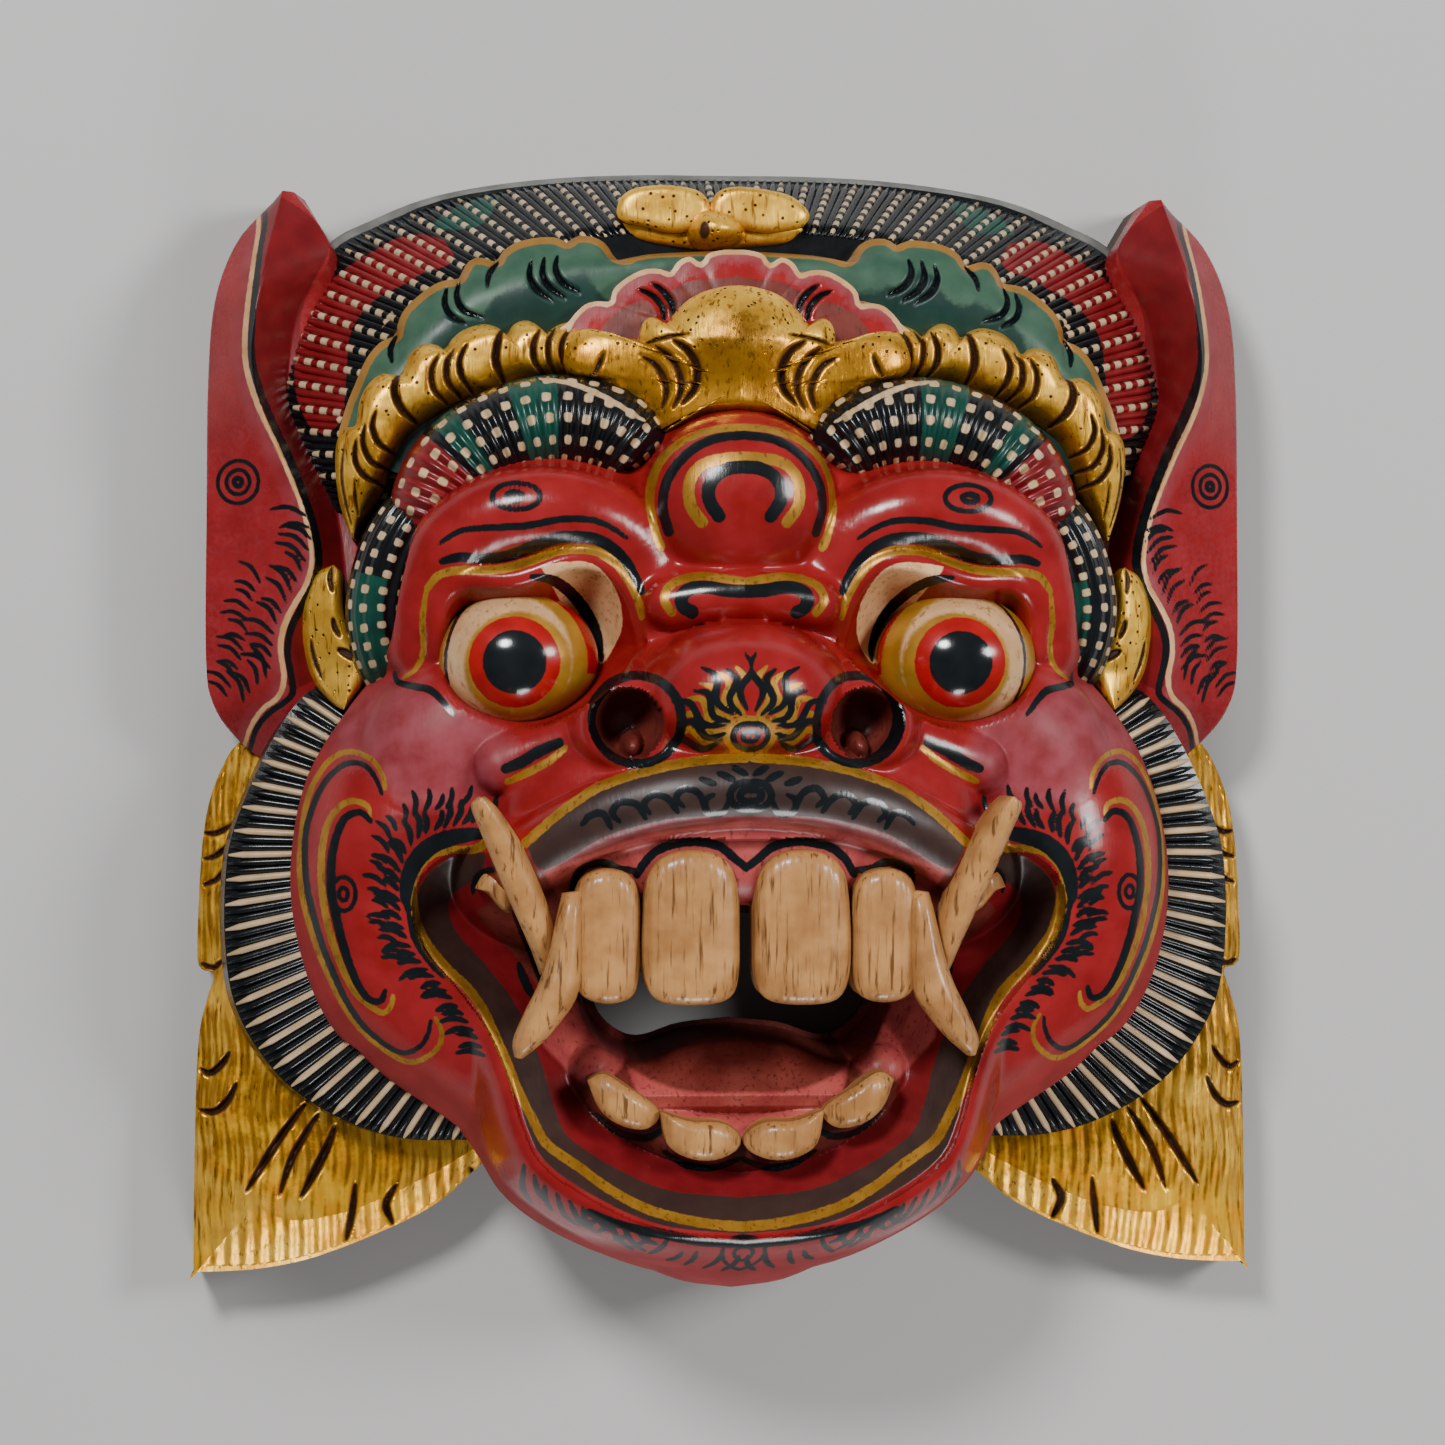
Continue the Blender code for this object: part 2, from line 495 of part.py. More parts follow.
def main():
    for leftover in list(bpy.data.objects):
        bpy.data.objects.remove(leftover)
    parts = bpy.data.collections.new("kirtimukha_mask")
    cutters = bpy.data.collections.new("cutters")
    bpy.context.scene.collection.children.link(parts)
    bpy.context.scene.collection.children.link(cutters)
    cutters.hide_render = True

    hollow_loop = oval(HOLLOW_CENTRE, HOLLOW_RADII, 2.4)
    hollow = block("hollow", 26, 26, mound(hollow_loop, HOLLOW_CENTRE, hollow_height), -CUT_MARGIN)
    mask = carve("mask", carve_forms(), parts)
    take_away(mask, hollow, cutters)
    take_away(mask, slab_below(), cutters)
    mask.modifiers.new("triangles", "TRIANGULATE")
    mask.data.materials.append(painted_wood())


main()
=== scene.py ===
# %% [markdown]
# # A carved and painted kirtimukha mask
# The real mask is one block of light wood, carved, primed, painted with glossy red, black and
# green, and gilded. It lies here on its flat back with its face up. The CAD model gives its size
# and main forms. This lesson makes the same forms with many more points, so that ribs, grooves
# and brush lines show, and then paints them with node materials.

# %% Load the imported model
import math
import bpy
import numpy as np
from mathutils import Matrix, Vector


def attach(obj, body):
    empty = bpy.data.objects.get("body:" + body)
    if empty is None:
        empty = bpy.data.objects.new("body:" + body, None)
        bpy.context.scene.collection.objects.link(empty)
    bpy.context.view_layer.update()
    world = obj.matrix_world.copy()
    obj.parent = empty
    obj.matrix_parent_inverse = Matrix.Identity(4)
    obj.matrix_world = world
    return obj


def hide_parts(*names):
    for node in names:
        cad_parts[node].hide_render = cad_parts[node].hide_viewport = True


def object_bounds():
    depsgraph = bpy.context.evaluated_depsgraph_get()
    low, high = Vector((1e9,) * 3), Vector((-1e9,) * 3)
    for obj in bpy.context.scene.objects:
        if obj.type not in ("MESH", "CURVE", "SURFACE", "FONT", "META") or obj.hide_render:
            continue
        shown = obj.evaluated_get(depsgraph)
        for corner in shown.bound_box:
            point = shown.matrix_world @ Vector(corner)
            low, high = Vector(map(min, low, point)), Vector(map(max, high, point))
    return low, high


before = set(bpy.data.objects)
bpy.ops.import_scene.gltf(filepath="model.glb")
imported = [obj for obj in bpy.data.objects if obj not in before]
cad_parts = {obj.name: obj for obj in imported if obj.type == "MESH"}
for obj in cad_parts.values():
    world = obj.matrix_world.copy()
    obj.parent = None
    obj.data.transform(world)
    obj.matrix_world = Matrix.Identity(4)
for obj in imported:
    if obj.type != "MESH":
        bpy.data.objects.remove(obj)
CAD_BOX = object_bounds()
SIZE = CAD_BOX[1] - CAD_BOX[0]
print("the packed mask measures", [round(side * 1000, 1) for side in SIZE], "mm")

# %% [markdown]
# ## The carver's unit
# A carver draws a mask at full size and pricks the main points through the paper. This file does
# the same: every form below is drawn in the carver's unit, one millimetre on a mask 300 mm tall.
# Drawing at one size and scaling once at the end keeps every number easy to check with a ruler.

# %% Sizes of the drawing
DRAWN_HEIGHT, NOSE_TOP = 299.0, 114.6
BOARD_METRES, WALL_METRES = 0.018, 0.015
UNIT = SIZE.y / DRAWN_HEIGHT
DEPTH_UNIT = SIZE.z / NOSE_TOP
BOARD = BOARD_METRES / DEPTH_UNIT
WALL = WALL_METRES / DEPTH_UNIT
LEAST_THICKNESS = 0.5
SIDES = ((-1, "left"), (1, "right"))
pieces = []
print("one carver's unit is", round(UNIT * 1000, 4), "mm across,", round(DEPTH_UNIT * 1000, 4), "deep")

# %% [markdown]
# ## Curves
# Every outline is a smooth curve through a few points. Blender's Bezier curves could hold them,
# but a Catmull-Rom curve needs no handles: it passes through each point, so the points can be
# measured and typed. A half outline is mirrored over the middle to give the other half.

# %% Curve helpers
def smooth_path(points, count):
    """count points, evenly apart, along a Catmull-Rom curve through the given points."""
    p = np.asarray(points, float)
    p = np.vstack([2 * p[0] - p[1], p, 2 * p[-1] - p[-2]])
    t = np.linspace(0, 1, 9)[:-1, None]
    runs = []
    for a, b, c, d in zip(p, p[1:], p[2:], p[3:]):
        cubic = (2 * a - 5 * b + 4 * c - d) * t**2 + (3 * b - a - 3 * c + d) * t**3
        runs.append(b + 0.5 * ((c - a) * t + cubic))
    fine = np.vstack(runs + [p[-2][None]])
    along = np.r_[0, np.cumsum(np.linalg.norm(np.diff(fine[:, :2], axis=0), axis=1))]
    even = np.linspace(0, along[-1], count)
    return np.column_stack([np.interp(even, along, axis) for axis in fine.T])


def both_sides(half):
    """A path of the right half carried on over the middle to the left half."""
    whole = [tuple(point) for point in half]
    mirrored = [(-point[0], *point[1:]) for point in reversed(whole)]
    return whole + (mirrored[1:] if whole[-1][0] == 0 else mirrored)


def mirrored_loop(half):
    """A closed loop from the points of a right half that starts and ends on the middle."""
    return np.vstack([half, half[-2:0:-1] * (-1, 1)])


def path_distance(x, y, path):
    """The distance of each point to a path, and how far along the path its nearest place lies."""
    best, share = np.full(x.shape, 1e9), np.zeros(x.shape)
    for i, (a, b) in enumerate(zip(path[:-1, :2], path[1:, :2])):
        run = b - a
        t = np.clip(((x - a[0]) * run[0] + (y - a[1]) * run[1]) / max(run @ run, 1e-9), 0, 1)
        gap = np.hypot(x - a[0] - t * run[0], y - a[1] - t * run[1])
        nearer = gap < best
        best, share = np.where(nearer, gap, best), np.where(nearer, (i + t) / (len(path) - 1), share)
    return best, share


def depth_inside(x, y, loop):
    """How far each point lies inside a closed loop. Outside, it is negative."""
    gap, _ = path_distance(x, y, np.vstack([loop, loop[:1]]))
    within = np.zeros(x.shape, bool)
    for a, b in zip(loop, np.roll(loop, -1, axis=0)):
        crosses = (a[1] > y) != (b[1] > y)
        within ^= crosses & (x < (b[0] - a[0]) * (y - a[1]) / (b[1] - a[1] + 1e-12) + a[0])
    return np.where(within, gap, -gap)


square = np.array([(-10, -10), (10, -10), (10, 10), (-10, 10)])
depth = depth_inside(np.zeros(1), np.zeros(1), square)[0]
print("the middle of a square 20 units wide lies", depth, "inside it")

# %% [markdown]
# ## Heights
# The face can be described by one height for each place, because a carver works it from the front.
# Bosses, rolls and hollows are small height functions, and a smooth maximum melts one into the
# next as a gouge does. Sculpting by hand would give the same, but could not be typed or repeated.

# %% Height helpers
def smooth_max(a, b, blend):
    """The larger of two heights, melted into one another over a width."""
    return 0.5 * (a + b + np.sqrt((a - b) ** 2 + blend**2))


def smooth_min(a, b, blend):
    """The smaller of two heights, melted in the same way."""
    return -smooth_max(-a, -b, blend)


def boss(x, y, centre, radii, foot, top, turn=0, power=2):
    """A rounded boss, foot high at its rim and top high at its centre, which drops away outside."""
    c, s = math.cos(math.radians(turn)), math.sin(math.radians(turn))
    dx, dy = x - centre[0], y - centre[1]
    q = np.hypot((dx * c + dy * s) / radii[0], (dy * c - dx * s) / radii[1])
    dome = np.sqrt(np.clip(1 - q**power, 0, 1))
    return foot + (top - foot) * np.where(q < 1, dome, 2 * (1 - q))


def roll(x, y, path, radius):
    """A half-round roll along a path, whose third number is the height of the roll's crest."""
    gap, share = path_distance(x, y, path)
    crest = np.interp(share, np.linspace(0, 1, len(path)), path[:, 2])
    q = gap / radius
    return crest - radius * np.where(q < 1, 1 - np.sqrt(np.clip(1 - q**2, 0, 1)), 2 * q - 1)


def outline_radius(loop, centre, bearing):
    """The distance from a centre to a loop round it, in the direction of each bearing."""
    dx, dy = loop[:, 0] - centre[0], loop[:, 1] - centre[1]
    around = np.arctan2(dx, dy)
    order = np.argsort(around)
    return np.interp(bearing, around[order], np.hypot(dx, dy)[order], period=2 * math.pi)


print("where two slopes meet at 50, a blend of 4 lifts the ridge to", smooth_max(50, 50, 4))

# %% [markdown]
# ## The drawing of the face
# These are the pricked points of the right half: outline, lips, gums, eye sockets, brows and nose.
# A third number is a height over the flat back. They are the same as in the CAD model, so the
# finer face made from them lies on its solid.

# %% Points of the face
FACE_SIDE = [(0, -150), (14, -148), (29, -141.5), (46, -135), (60, -124), (70, -109), (94, -92),
             (107, -75), (114, -53), (115, -34), (111, -14), (100, 4), (90, 18), (86, 36), (80, 54),
             (60, 76), (30, 88), (0, 90)]
LOWER_LIP = [(0, -128.7), (20, -126.6), (36, -120), (49.5, -111), (54.5, -102), (58, -90), (63, -78),
             (70, -68.4), (79, -58), (82.3, -48.6), (80.5, -40), (73, -34)]
MOUTH_SIDE = LOWER_LIP + [(62, -32), (40, -30), (0, -30)]
THROAT_SIDE = [(0, -79), (14, -80.5), (26, -84), (35, -79), (38, -70), (34, -58), (24, -52), (0, -50)]
UPPER_LIP = [(54, -34, 99), (43, -27, 104), (31, -21.8, 108), (16.5, -18.2, 111), (0, -16.8, 112)]
LOWER_GUM = [(37, -90, 74), (29, -98.5, 77), (15, -105.5, 79), (0, -108, 80)]
SOCKET = [(25, 20), (29, 32), (38, 38.5), (48, 38), (57, 36), (71, 35), (76.5, 28), (78, 17), (73, 7),
          (63, 1), (50, 0.5), (36, 8)]
EYELID = [(24, 19, 80), (27, 31, 84), (34, 39.5, 86), (43, 41, 87), (57, 36.5, 86), (70, 36, 82),
          (76, 30, 78), (77.5, 18, 74)]
BROW = [(23, 34, 82), (30, 47, 86), (44, 53.5, 89), (60, 52.5, 88), (72, 45, 84), (77.5, 32, 78),
        (79, 20, 72)]
BRIDGE = [(18.5, 30, 91), (9, 31.5, 93), (0, 32, 94)]
WHISKER_BUMP = [(60.5, -11, 88), (44, -4.5, 92)]
FACE_CENTRE, HOLLOW_CENTRE, HOLLOW_RADII = (0, -30), (0, -24), (89.7, 102.7)
NOSTRIL, NOSTRIL_CURL, NOSTRIL_RADIUS = (30, -0.4), (28.5, -6.0), 9
EYE, EYE_RADII = (56.4, 16.2), (20.5, 17.5)


def oval(centre, radii, power=2):
    """A closed loop round an oval, squarer with a higher power."""
    around = np.linspace(-math.pi, math.pi, 65)[:-1]
    across, along = np.sin(around), np.cos(around)
    corner = (np.abs(along) ** power + np.abs(across) ** power) ** (-1 / power)
    return centre + corner[:, None] * np.column_stack([radii[0] * across, radii[1] * along])


FACE_LOOP = smooth_path(both_sides(FACE_SIDE), 160)
MOUTH_LOOP = smooth_path(both_sides(MOUTH_SIDE), 120)
THROAT_LOOP = smooth_path(both_sides(THROAT_SIDE), 60)
SOCKET_LOOP = smooth_path(SOCKET + SOCKET[:1], 50)[:-1]
HOLLOW_LOOP = oval(HOLLOW_CENTRE, HOLLOW_RADII, 2.4)
print("the face outline is", round(float(np.ptp(FACE_LOOP[:, 0])), 1), "units wide")

# %% [markdown]
# ## The face as one height
# The open jaws are a funnel that steps down from the lips over gums and tongue to a throat that
# goes right through the mask. The nose, brows and sockets are laid on in the order in which a
# carver roughs them out: big bosses first, then rolls, then the hollows.

# %% Jaws, nose and brow
def carve_mouth(ax, y, z):
    """The open jaws: lips, gums, the funnel of the mouth, the tongue and the hole of the throat."""
    z = smooth_max(z, boss(ax, y, (0, -22), (62, 30), 76, 103, power=2.6), 4)
    lip_gap, _ = path_distance(ax, y, smooth_path(LOWER_LIP, 40))
    lip_height = np.interp(y, [-129, -110, -90, -60, -34], [90, 86, 82, 73, 72])
    z = smooth_max(z, lip_height + 3 - 0.16 * lip_gap**2, 2)
    within = depth_inside(ax, y, MOUTH_LOOP)
    funnel = lip_height - np.interp(within, [0, 2, 9, 17, 27, 40], [0, 2, 8, 15, 26, 30])
    funnel = smooth_max(funnel, boss(ax, y, (0, -30), (54, 21), 66, 99, power=4), 2)
    funnel = smooth_max(funnel, roll(ax, y, smooth_path(LOWER_GUM, 30), 7), 2)
    tongue = np.interp(y, [-103, -98, -95, -90, -80, -70], [66, 77, 79, 74, 60, 46])
    tongue = tongue - 0.5 * np.clip(ax - 26, 0, 60) ** 1.5
    funnel = np.where(within > 12, smooth_max(funnel, tongue, 1.5), funnel)
    z = np.where(within > -1, smooth_min(z, funnel, 1.5), z)
    z = smooth_max(z, roll(ax, y, smooth_path(UPPER_LIP, 50), 9), 1.5)
    throat = depth_inside(ax, y, THROAT_LOOP)
    return np.where(within > 12, smooth_min(z, 52 - 14 * (throat + 2), 3), z)


def carve_nose(ax, y, z):
    """The nose with its flared nostrils, its bridge, and the two whisker bumps."""
    z = smooth_max(z, boss(ax, y, (0, 7), (27, 19), 86, NOSE_TOP, power=2.4), 3)
    z = smooth_max(z, roll(ax, y, smooth_path(WHISKER_BUMP, 12), 7.5), 2)
    z = smooth_max(z, roll(ax, y, smooth_path(BRIDGE, 20), 6.5), 3)
    rim = np.hypot(ax - NOSTRIL[0], y - NOSTRIL[1])
    z = smooth_max(z, 101 - 0.32 * (rim - NOSTRIL_RADIUS) ** 2, 2)
    z = np.where(rim < NOSTRIL_RADIUS, smooth_min(z, 84 + 0.02 * rim**3, 1.5), z)
    curl = boss(ax, y, NOSTRIL_CURL, (3.2, 4.4), 84, 99, turn=15)
    return np.where(rim < NOSTRIL_RADIUS, smooth_max(z, curl, 1), z)


def carve_brow(ax, y, z):
    """The brows, the jewel between them, and the eye sockets with their lids."""
    z = smooth_max(z, roll(ax, y, smooth_path(BROW, 60), 11.5), 3)
    z = smooth_max(z, boss(ax, y, (0, 57), (25, 23), 72, 94, power=2.6), 3)
    socket = depth_inside(ax, y, SOCKET_LOOP)
    z = np.where(socket > -1, smooth_min(z, np.maximum(80 - 2.6 * socket, 58), 1.5), z)
    return smooth_max(z, roll(ax, y, smooth_path(EYELID, 60), 3), 1)


def face_height(x, y):
    """The height of the carved face over the flat back."""
    ax = np.abs(x)
    bearing = np.arctan2(ax, y - FACE_CENTRE[1])
    share = np.hypot(ax, y - FACE_CENTRE[1]) / outline_radius(FACE_LOOP, FACE_CENTRE, bearing)
    middle = np.interp(y, [-150, -128, -100, -50, 0, 40, 86], [112, 108, 92, 80, 82, 84, 80])
    z = 30 + (middle - 30) * np.sqrt(np.clip(1 - share**4, 0, 1))
    z = smooth_max(z, boss(ax, y, (85, -36), (31, 52), 42, 80, turn=8), 5)
    z = smooth_max(z, boss(ax, y, (72, -2), (26, 20), 60, 82, turn=-30), 6)
    return carve_brow(ax, y, carve_nose(ax, y, carve_mouth(ax, y, z)))


def back_height(x, y):
    """The height of the hollow of the back, zero on the flat rim round it."""
    ax = np.abs(x)
    bearing = np.arctan2(x - HOLLOW_CENTRE[0], y - HOLLOW_CENTRE[1])
    reach = outline_radius(HOLLOW_LOOP, HOLLOW_CENTRE, bearing)
    share = np.hypot(x - HOLLOW_CENTRE[0], y - HOLLOW_CENTRE[1]) / reach
    behind_nose = 26 * np.exp(-((ax / 30) ** 2) - ((y - 8) / 24) ** 2)
    behind_cheek = 11 * np.exp(-(((ax - 70) / 24) ** 2) - ((y + 26) / 30) ** 2)
    behind_throat = -8 * np.exp(-((ax / 60) ** 2) - ((y + 66) / 34) ** 2)
    ceiling = 58 + behind_nose + behind_cheek + behind_throat - WALL
    return ceiling * np.sqrt(np.clip(1 - share**4, 0, 1))


nose_tip = face_height(np.zeros(1), np.full(1, 7.0))[0]
print("the face stands", round(float(nose_tip), 1), "units high at the tip of the nose")

# %% [markdown]
# ## From the photograph to the wood
# Painted lines are placed from the picture, in its pixels. A camera flattens depth, so a
# pixel belongs to a place on the wood only once the height there is known. The height is looked
# up, the place corrected, and so on a few times until it stands still.

# %% Find the place on the wood that a pixel shows
FOCAL_PIXELS, CAMERA_HEIGHT, LEAN, MIDDLE_PIXEL = 3612.0, 1000.0, 0.07, (719.0, 722.0)
FIRST_HEIGHT, CORRECTIONS = 60.0, 8
TABLE_STEP = 1.5
TABLE_X, TABLE_Y = np.arange(0, 143, TABLE_STEP), np.arange(-153, 153, TABLE_STEP)
FACE_TABLE = face_height(*np.meshgrid(TABLE_X, TABLE_Y))


def face_lookup(x, y):
    """The face's height, read between the places of a table."""
    col = np.clip((np.abs(x) - TABLE_X[0]) / TABLE_STEP, 0, len(TABLE_X) - 1.001)
    row = np.clip((y - TABLE_Y[0]) / TABLE_STEP, 0, len(TABLE_Y) - 1.001)
    i, j = col.astype(int), row.astype(int)
    s, t = col - i, row - j
    low = FACE_TABLE[j, i] * (1 - s) + FACE_TABLE[j, i + 1] * s
    high = FACE_TABLE[j + 1, i] * (1 - s) + FACE_TABLE[j + 1, i + 1] * s
    return low * (1 - t) + high * t


def from_photo(pixels, height):
    """Places on the wood, in the carver's unit, that pixels of the photograph show."""
    px, py = np.asarray(pixels, float).T
    z = np.full(len(px), FIRST_HEIGHT)
    for _ in range(CORRECTIONS):
        scale = FOCAL_PIXELS / (CAMERA_HEIGHT - z)
        x, y = (px - MIDDLE_PIXEL[0]) / scale - LEAN * z, (MIDDLE_PIXEL[1] - py) / scale
        z = 0.5 * z + 0.5 * (height(x, y) if callable(height) else height)
    return np.column_stack([x, y])


print("the middle of the picture shows the place", from_photo([MIDDLE_PIXEL], face_lookup)[0].round(1))

# %% [markdown]
# ## Brush strokes as distances
# A brush line needs a crisp edge at any size. Instead of a picture, each point of a mesh keeps
# how far it lies inside the nearest stroke, in millimetres. Between points that number changes
# evenly, so the material can draw a sharp edge where it passes zero. Six millimetres off a
# stroke it no longer matters how far the stroke is, so the number stops there.

# %% Paint brush strokes into a field
FAR = 6.0


def brush(field, x, y, path, width, tip=1.0):
    """Adds one stroke, width across, whose ends are tip times as wide."""
    low, high = path[:, :2].min(axis=0) - FAR, path[:, :2].max(axis=0) + FAR
    near = (x > low[0]) & (x < high[0]) & (y > low[1]) & (y < high[1])
    if near.any():
        gap, share = path_distance(x[near], y[near], path)
        half = width / 2 * (tip + (1 - tip) * np.sqrt(np.sin(np.pi * np.clip(share, 0, 1))))
        field[near] = np.maximum(field[near], half - gap)


def paint(x, y, strokes, height):
    """A field of strokes (width, tip, pixels), drawn on the left half and mirrored to the right."""
    field = np.full(x.shape, -FAR)
    for width, tip, pixels in strokes:
        path = from_photo(pixels, height)
        brush(field, -np.abs(x), y, smooth_path(path, 5 * len(path)), width, tip)
    return field


def area(x, y, pixels, height, smooth=True):
    """A field, above zero inside an outline of pixels on the left half, mirrored to the right."""
    loop = from_photo(pixels, height)
    loop = smooth_path(np.vstack([loop, loop[:1]]), 4 * len(loop))[:-1] if smooth else loop
    return np.clip(depth_inside(-np.abs(x), y, loop), -FAR, FAR)


def circle(centre, radius, squash=1.0):
    """Pixels round a circle or an ellipse."""
    (x, y), turns = centre, np.linspace(0, 2 * math.pi, 17)
    return [(x + radius * math.cos(t), y + squash * radius * math.sin(t)) for t in turns]


def flicks(base, count, length, lean, width=1.6, bend=0.25):
    """Strokes for a row of short hairs that spring from a pixel path, leaning by an angle from it."""
    path = smooth_path(base, count + 2)
    heading = np.gradient(path, axis=0)
    strokes = []
    for k in range(1, count + 1):
        turn = math.atan2(heading[k][1], heading[k][0]) + math.radians(lean + 9 * math.sin(2.4 * k))
        step = length * (1 + 0.2 * math.sin(1.7 * k)) * np.array([math.cos(turn), math.sin(turn)])
        curl = bend * np.array([-step[1], step[0]])
        hair = [path[k], path[k] + 0.55 * step + 0.4 * curl, path[k] + step - 0.2 * curl]
        strokes.append((width, 0.3, hair))
    return strokes


def carve(x, y, strokes, height, depth):
    """How much a gouge that follows the strokes lowers each point: it cuts a steep groove."""
    return -np.clip(1.7 * (paint(x, y, strokes, height) + 0.2), 0, depth)


def traced(pixels, height):
    """A guide path of the right half, from pixels of the left half and a height over the back."""
    path = from_photo(pixels, np.asarray(height, float))
    return np.column_stack([-path[:, 0], path[:, 1], np.broadcast_to(height, len(path))])


short_line = traced([(500, 0), (600, 0)], 60)[:, 0]
print("a line 100 pixels long is", np.ptp(short_line).round(1), "units long on wood 60 units high")

# %% [markdown]
# ## A closed shell from a grid
# Each piece starts as a square grid that a function puts in place. To be a solid piece it also
# needs a back and sides: a coarser copy of the grid is the underside, and many-sided faces join
# the two rims. Solidify could do this too, but it would double every point of the fine top.

# %% Build a shell
def grid_faces(columns, rows, first=0):
    """The four-sided faces of a grid whose points are numbered from first."""
    i, j = np.meshgrid(np.arange(columns), np.arange(rows))
    a = (first + j * (columns + 1) + i).ravel()
    return np.column_stack([a, a + 1, a + columns + 2, a + columns + 1])


def grid_rim(columns, rows, first=0):
    """The points round a grid, in the order of its faces."""
    i = np.r_[np.arange(columns), np.full(rows, columns), np.arange(columns, 0, -1),
              np.zeros(rows, int)]
    j = np.r_[np.zeros(columns, int), np.arange(rows), np.full(columns, rows), np.arange(rows, 0, -1)]
    return first + j * (columns + 1) + i


def grid_spots(columns, rows):
    """The places u, v of a grid's points, both from -1 to 1."""
    u, v = np.meshgrid(np.linspace(-1, 1, columns + 1), np.linspace(-1, 1, rows + 1))
    return u.ravel(), v.ravel()


def link(name, data):
    """A new object in the scene that shows the given data."""
    made = bpy.data.objects.new(name, data)
    bpy.context.scene.collection.objects.link(made)
    return made


def keep_values(mesh, name, values):
    """Gives each point of a mesh its own value of a name."""
    mesh.attributes.new(name, "FLOAT", "POINT").data.foreach_set("value", values.astype(np.float32))


def shell(name, place, columns, rows, fine=6, under=back_height, fields=None, bare_side=20.0):
    """A closed piece: place(u, v) gives X, Y, Z of the top, and under(x, y) its underside.

    The underside has columns by rows faces, and the top fine times as many each way. The sides
    count as far from the paint by bare_side: a small one keeps them as painted as the front.
    """
    u, v = grid_spots(columns * fine, rows * fine)
    x, y, z = place(u, v)
    cu, cv = grid_spots(columns, rows)
    bx, by, bz = place(cu, cv)
    bz = np.minimum(under(bx, by) if callable(under) else under + 0 * bx, bz - LEAST_THICKNESS)
    rim, low_rim = grid_rim(columns * fine, rows * fine), grid_rim(columns, rows, len(x))
    faces = grid_faces(columns * fine, rows * fine).tolist()
    faces += grid_faces(columns, rows, len(x))[:, ::-1].tolist()
    rim, low_rim = np.r_[rim, rim[0]], np.r_[low_rim, low_rim[0]]
    for k in range(len(low_rim) - 1):
        faces.append([low_rim[k], low_rim[k + 1], *rim[k * fine:(k + 1) * fine + 1][::-1]])
    corner = rim[:-1]
    if np.sum(x[corner] * np.roll(y[corner], -1) - y[corner] * np.roll(x[corner], -1)) < 0:
        faces = [face[::-1] for face in faces]
    spots = np.column_stack([np.r_[x, bx] * UNIT, np.r_[y, by] * UNIT, np.r_[z, bz] * DEPTH_UNIT])
    mesh = bpy.data.meshes.new(name)
    mesh.from_pydata(spots.tolist(), [], faces)
    mesh.shade_smooth()
    mesh.set_sharp_from_angle(angle=math.radians(55))
    keep_values(mesh, "wall", np.r_[0 * x, bx * 0 + bare_side])
    for key, field in (fields(x, y, z, u, v) if fields else {}).items():
        keep_values(mesh, key, np.r_[field, bx * 0 - FAR])
    piece = link(name, mesh)
    pieces.append(piece)
    print(name, len(spots), "points,", sum(len(face) - 2 for face in faces), "triangles")
    return piece


print("a grid of 4 by 3 faces has", len(grid_rim(4, 3)), "points round its rim")

# %% [markdown]
# ## Three ways to put a grid in place
# A mound bends the square into a disc inside an outline, for the face, teeth and eyes. A sheet
# spans a row of guide curves, for ears, ruff and leaves. A band follows one curve with a round
# section, for rolls of hair. With these three, every form of the mask is one short call.

# %% Mounds, sheets and bands
def mound(loop, centre, height, border=0.5):
    """Puts a square grid on the disc inside a loop; height gives Z from X, Y and share of radius."""

    def place(u, v):
        a, b = u * np.sqrt(1 - v * v / 2), v * np.sqrt(1 - u * u / 2)
        bearing, r = np.arctan2(a, b), np.clip(np.hypot(a, b), 0, 1)
        share = border * np.sin(r * math.pi / 2) + (1 - border) * r
        radius = outline_radius(loop, centre, bearing) * share
        x, y = centre[0] + radius * np.sin(bearing), centre[1] + radius * np.cos(bearing)
        return x, y, height(x, y, share)

    return place


def collar(inner, outer, centre, height, side=0):
    """Puts a grid between two loops round a centre; on one side only where side is 1 or -1."""

    def place(u, v):
        bearing = (u + 1) / 2 * math.pi * side if side else u * math.pi
        near, far = outline_radius(inner, centre, bearing), outline_radius(outer, centre, bearing)
        radius = near + (far - near) * (v + 1) / 2
        x, y = centre[0] + radius * np.sin(bearing), centre[1] + radius * np.cos(bearing)
        return x, y, height(x, y)

    return place


def pebble(centre, radii, foot, top):
    """Puts a grid on one oval boss."""
    return mound(oval(centre, radii), centre,
                 lambda x, y, share: foot + (top - foot) * np.sqrt(np.clip(1 - share**2, 0, 1)), 1)


def sheet(guides, side=1, relief=None, soft=0.0):
    """Puts a grid across guide paths: u runs along them, v from the first to the last."""
    curves = np.array([smooth_path(guide, 160) for guide in guides])
    curves[:, :, 0] *= side
    steps = np.linspace(0, 1, curves.shape[1])

    def place(u, v):
        along, row = (u + 1) / 2, (v + 1) / 2 * (len(guides) - 1)
        low = np.clip(np.floor(row).astype(int), 0, len(guides) - 2)
        point = []
        for axis in range(3):
            rows = [np.interp(along, steps, curve[:, axis]) for curve in curves]
            rows = [2 * rows[0] - rows[1]] + rows + [2 * rows[-1] - rows[-2]]
            a, b, c, d = (np.choose(low, rows[k:len(guides) - 1 + k]) for k in range(4))
            t = row - low
            bend = (2 * a - 5 * b + 4 * c - d) * t**2 + (3 * b - a - 3 * c + d) * t**3 + (c - a) * t
            point.append((1 - soft) * ((1 - t) * b + t * c) + soft * (b + 0.5 * bend))
        x, y, z = point
        return x, y, z + (relief(x, y, along, (v + 1) / 2) if relief else 0)

    return place


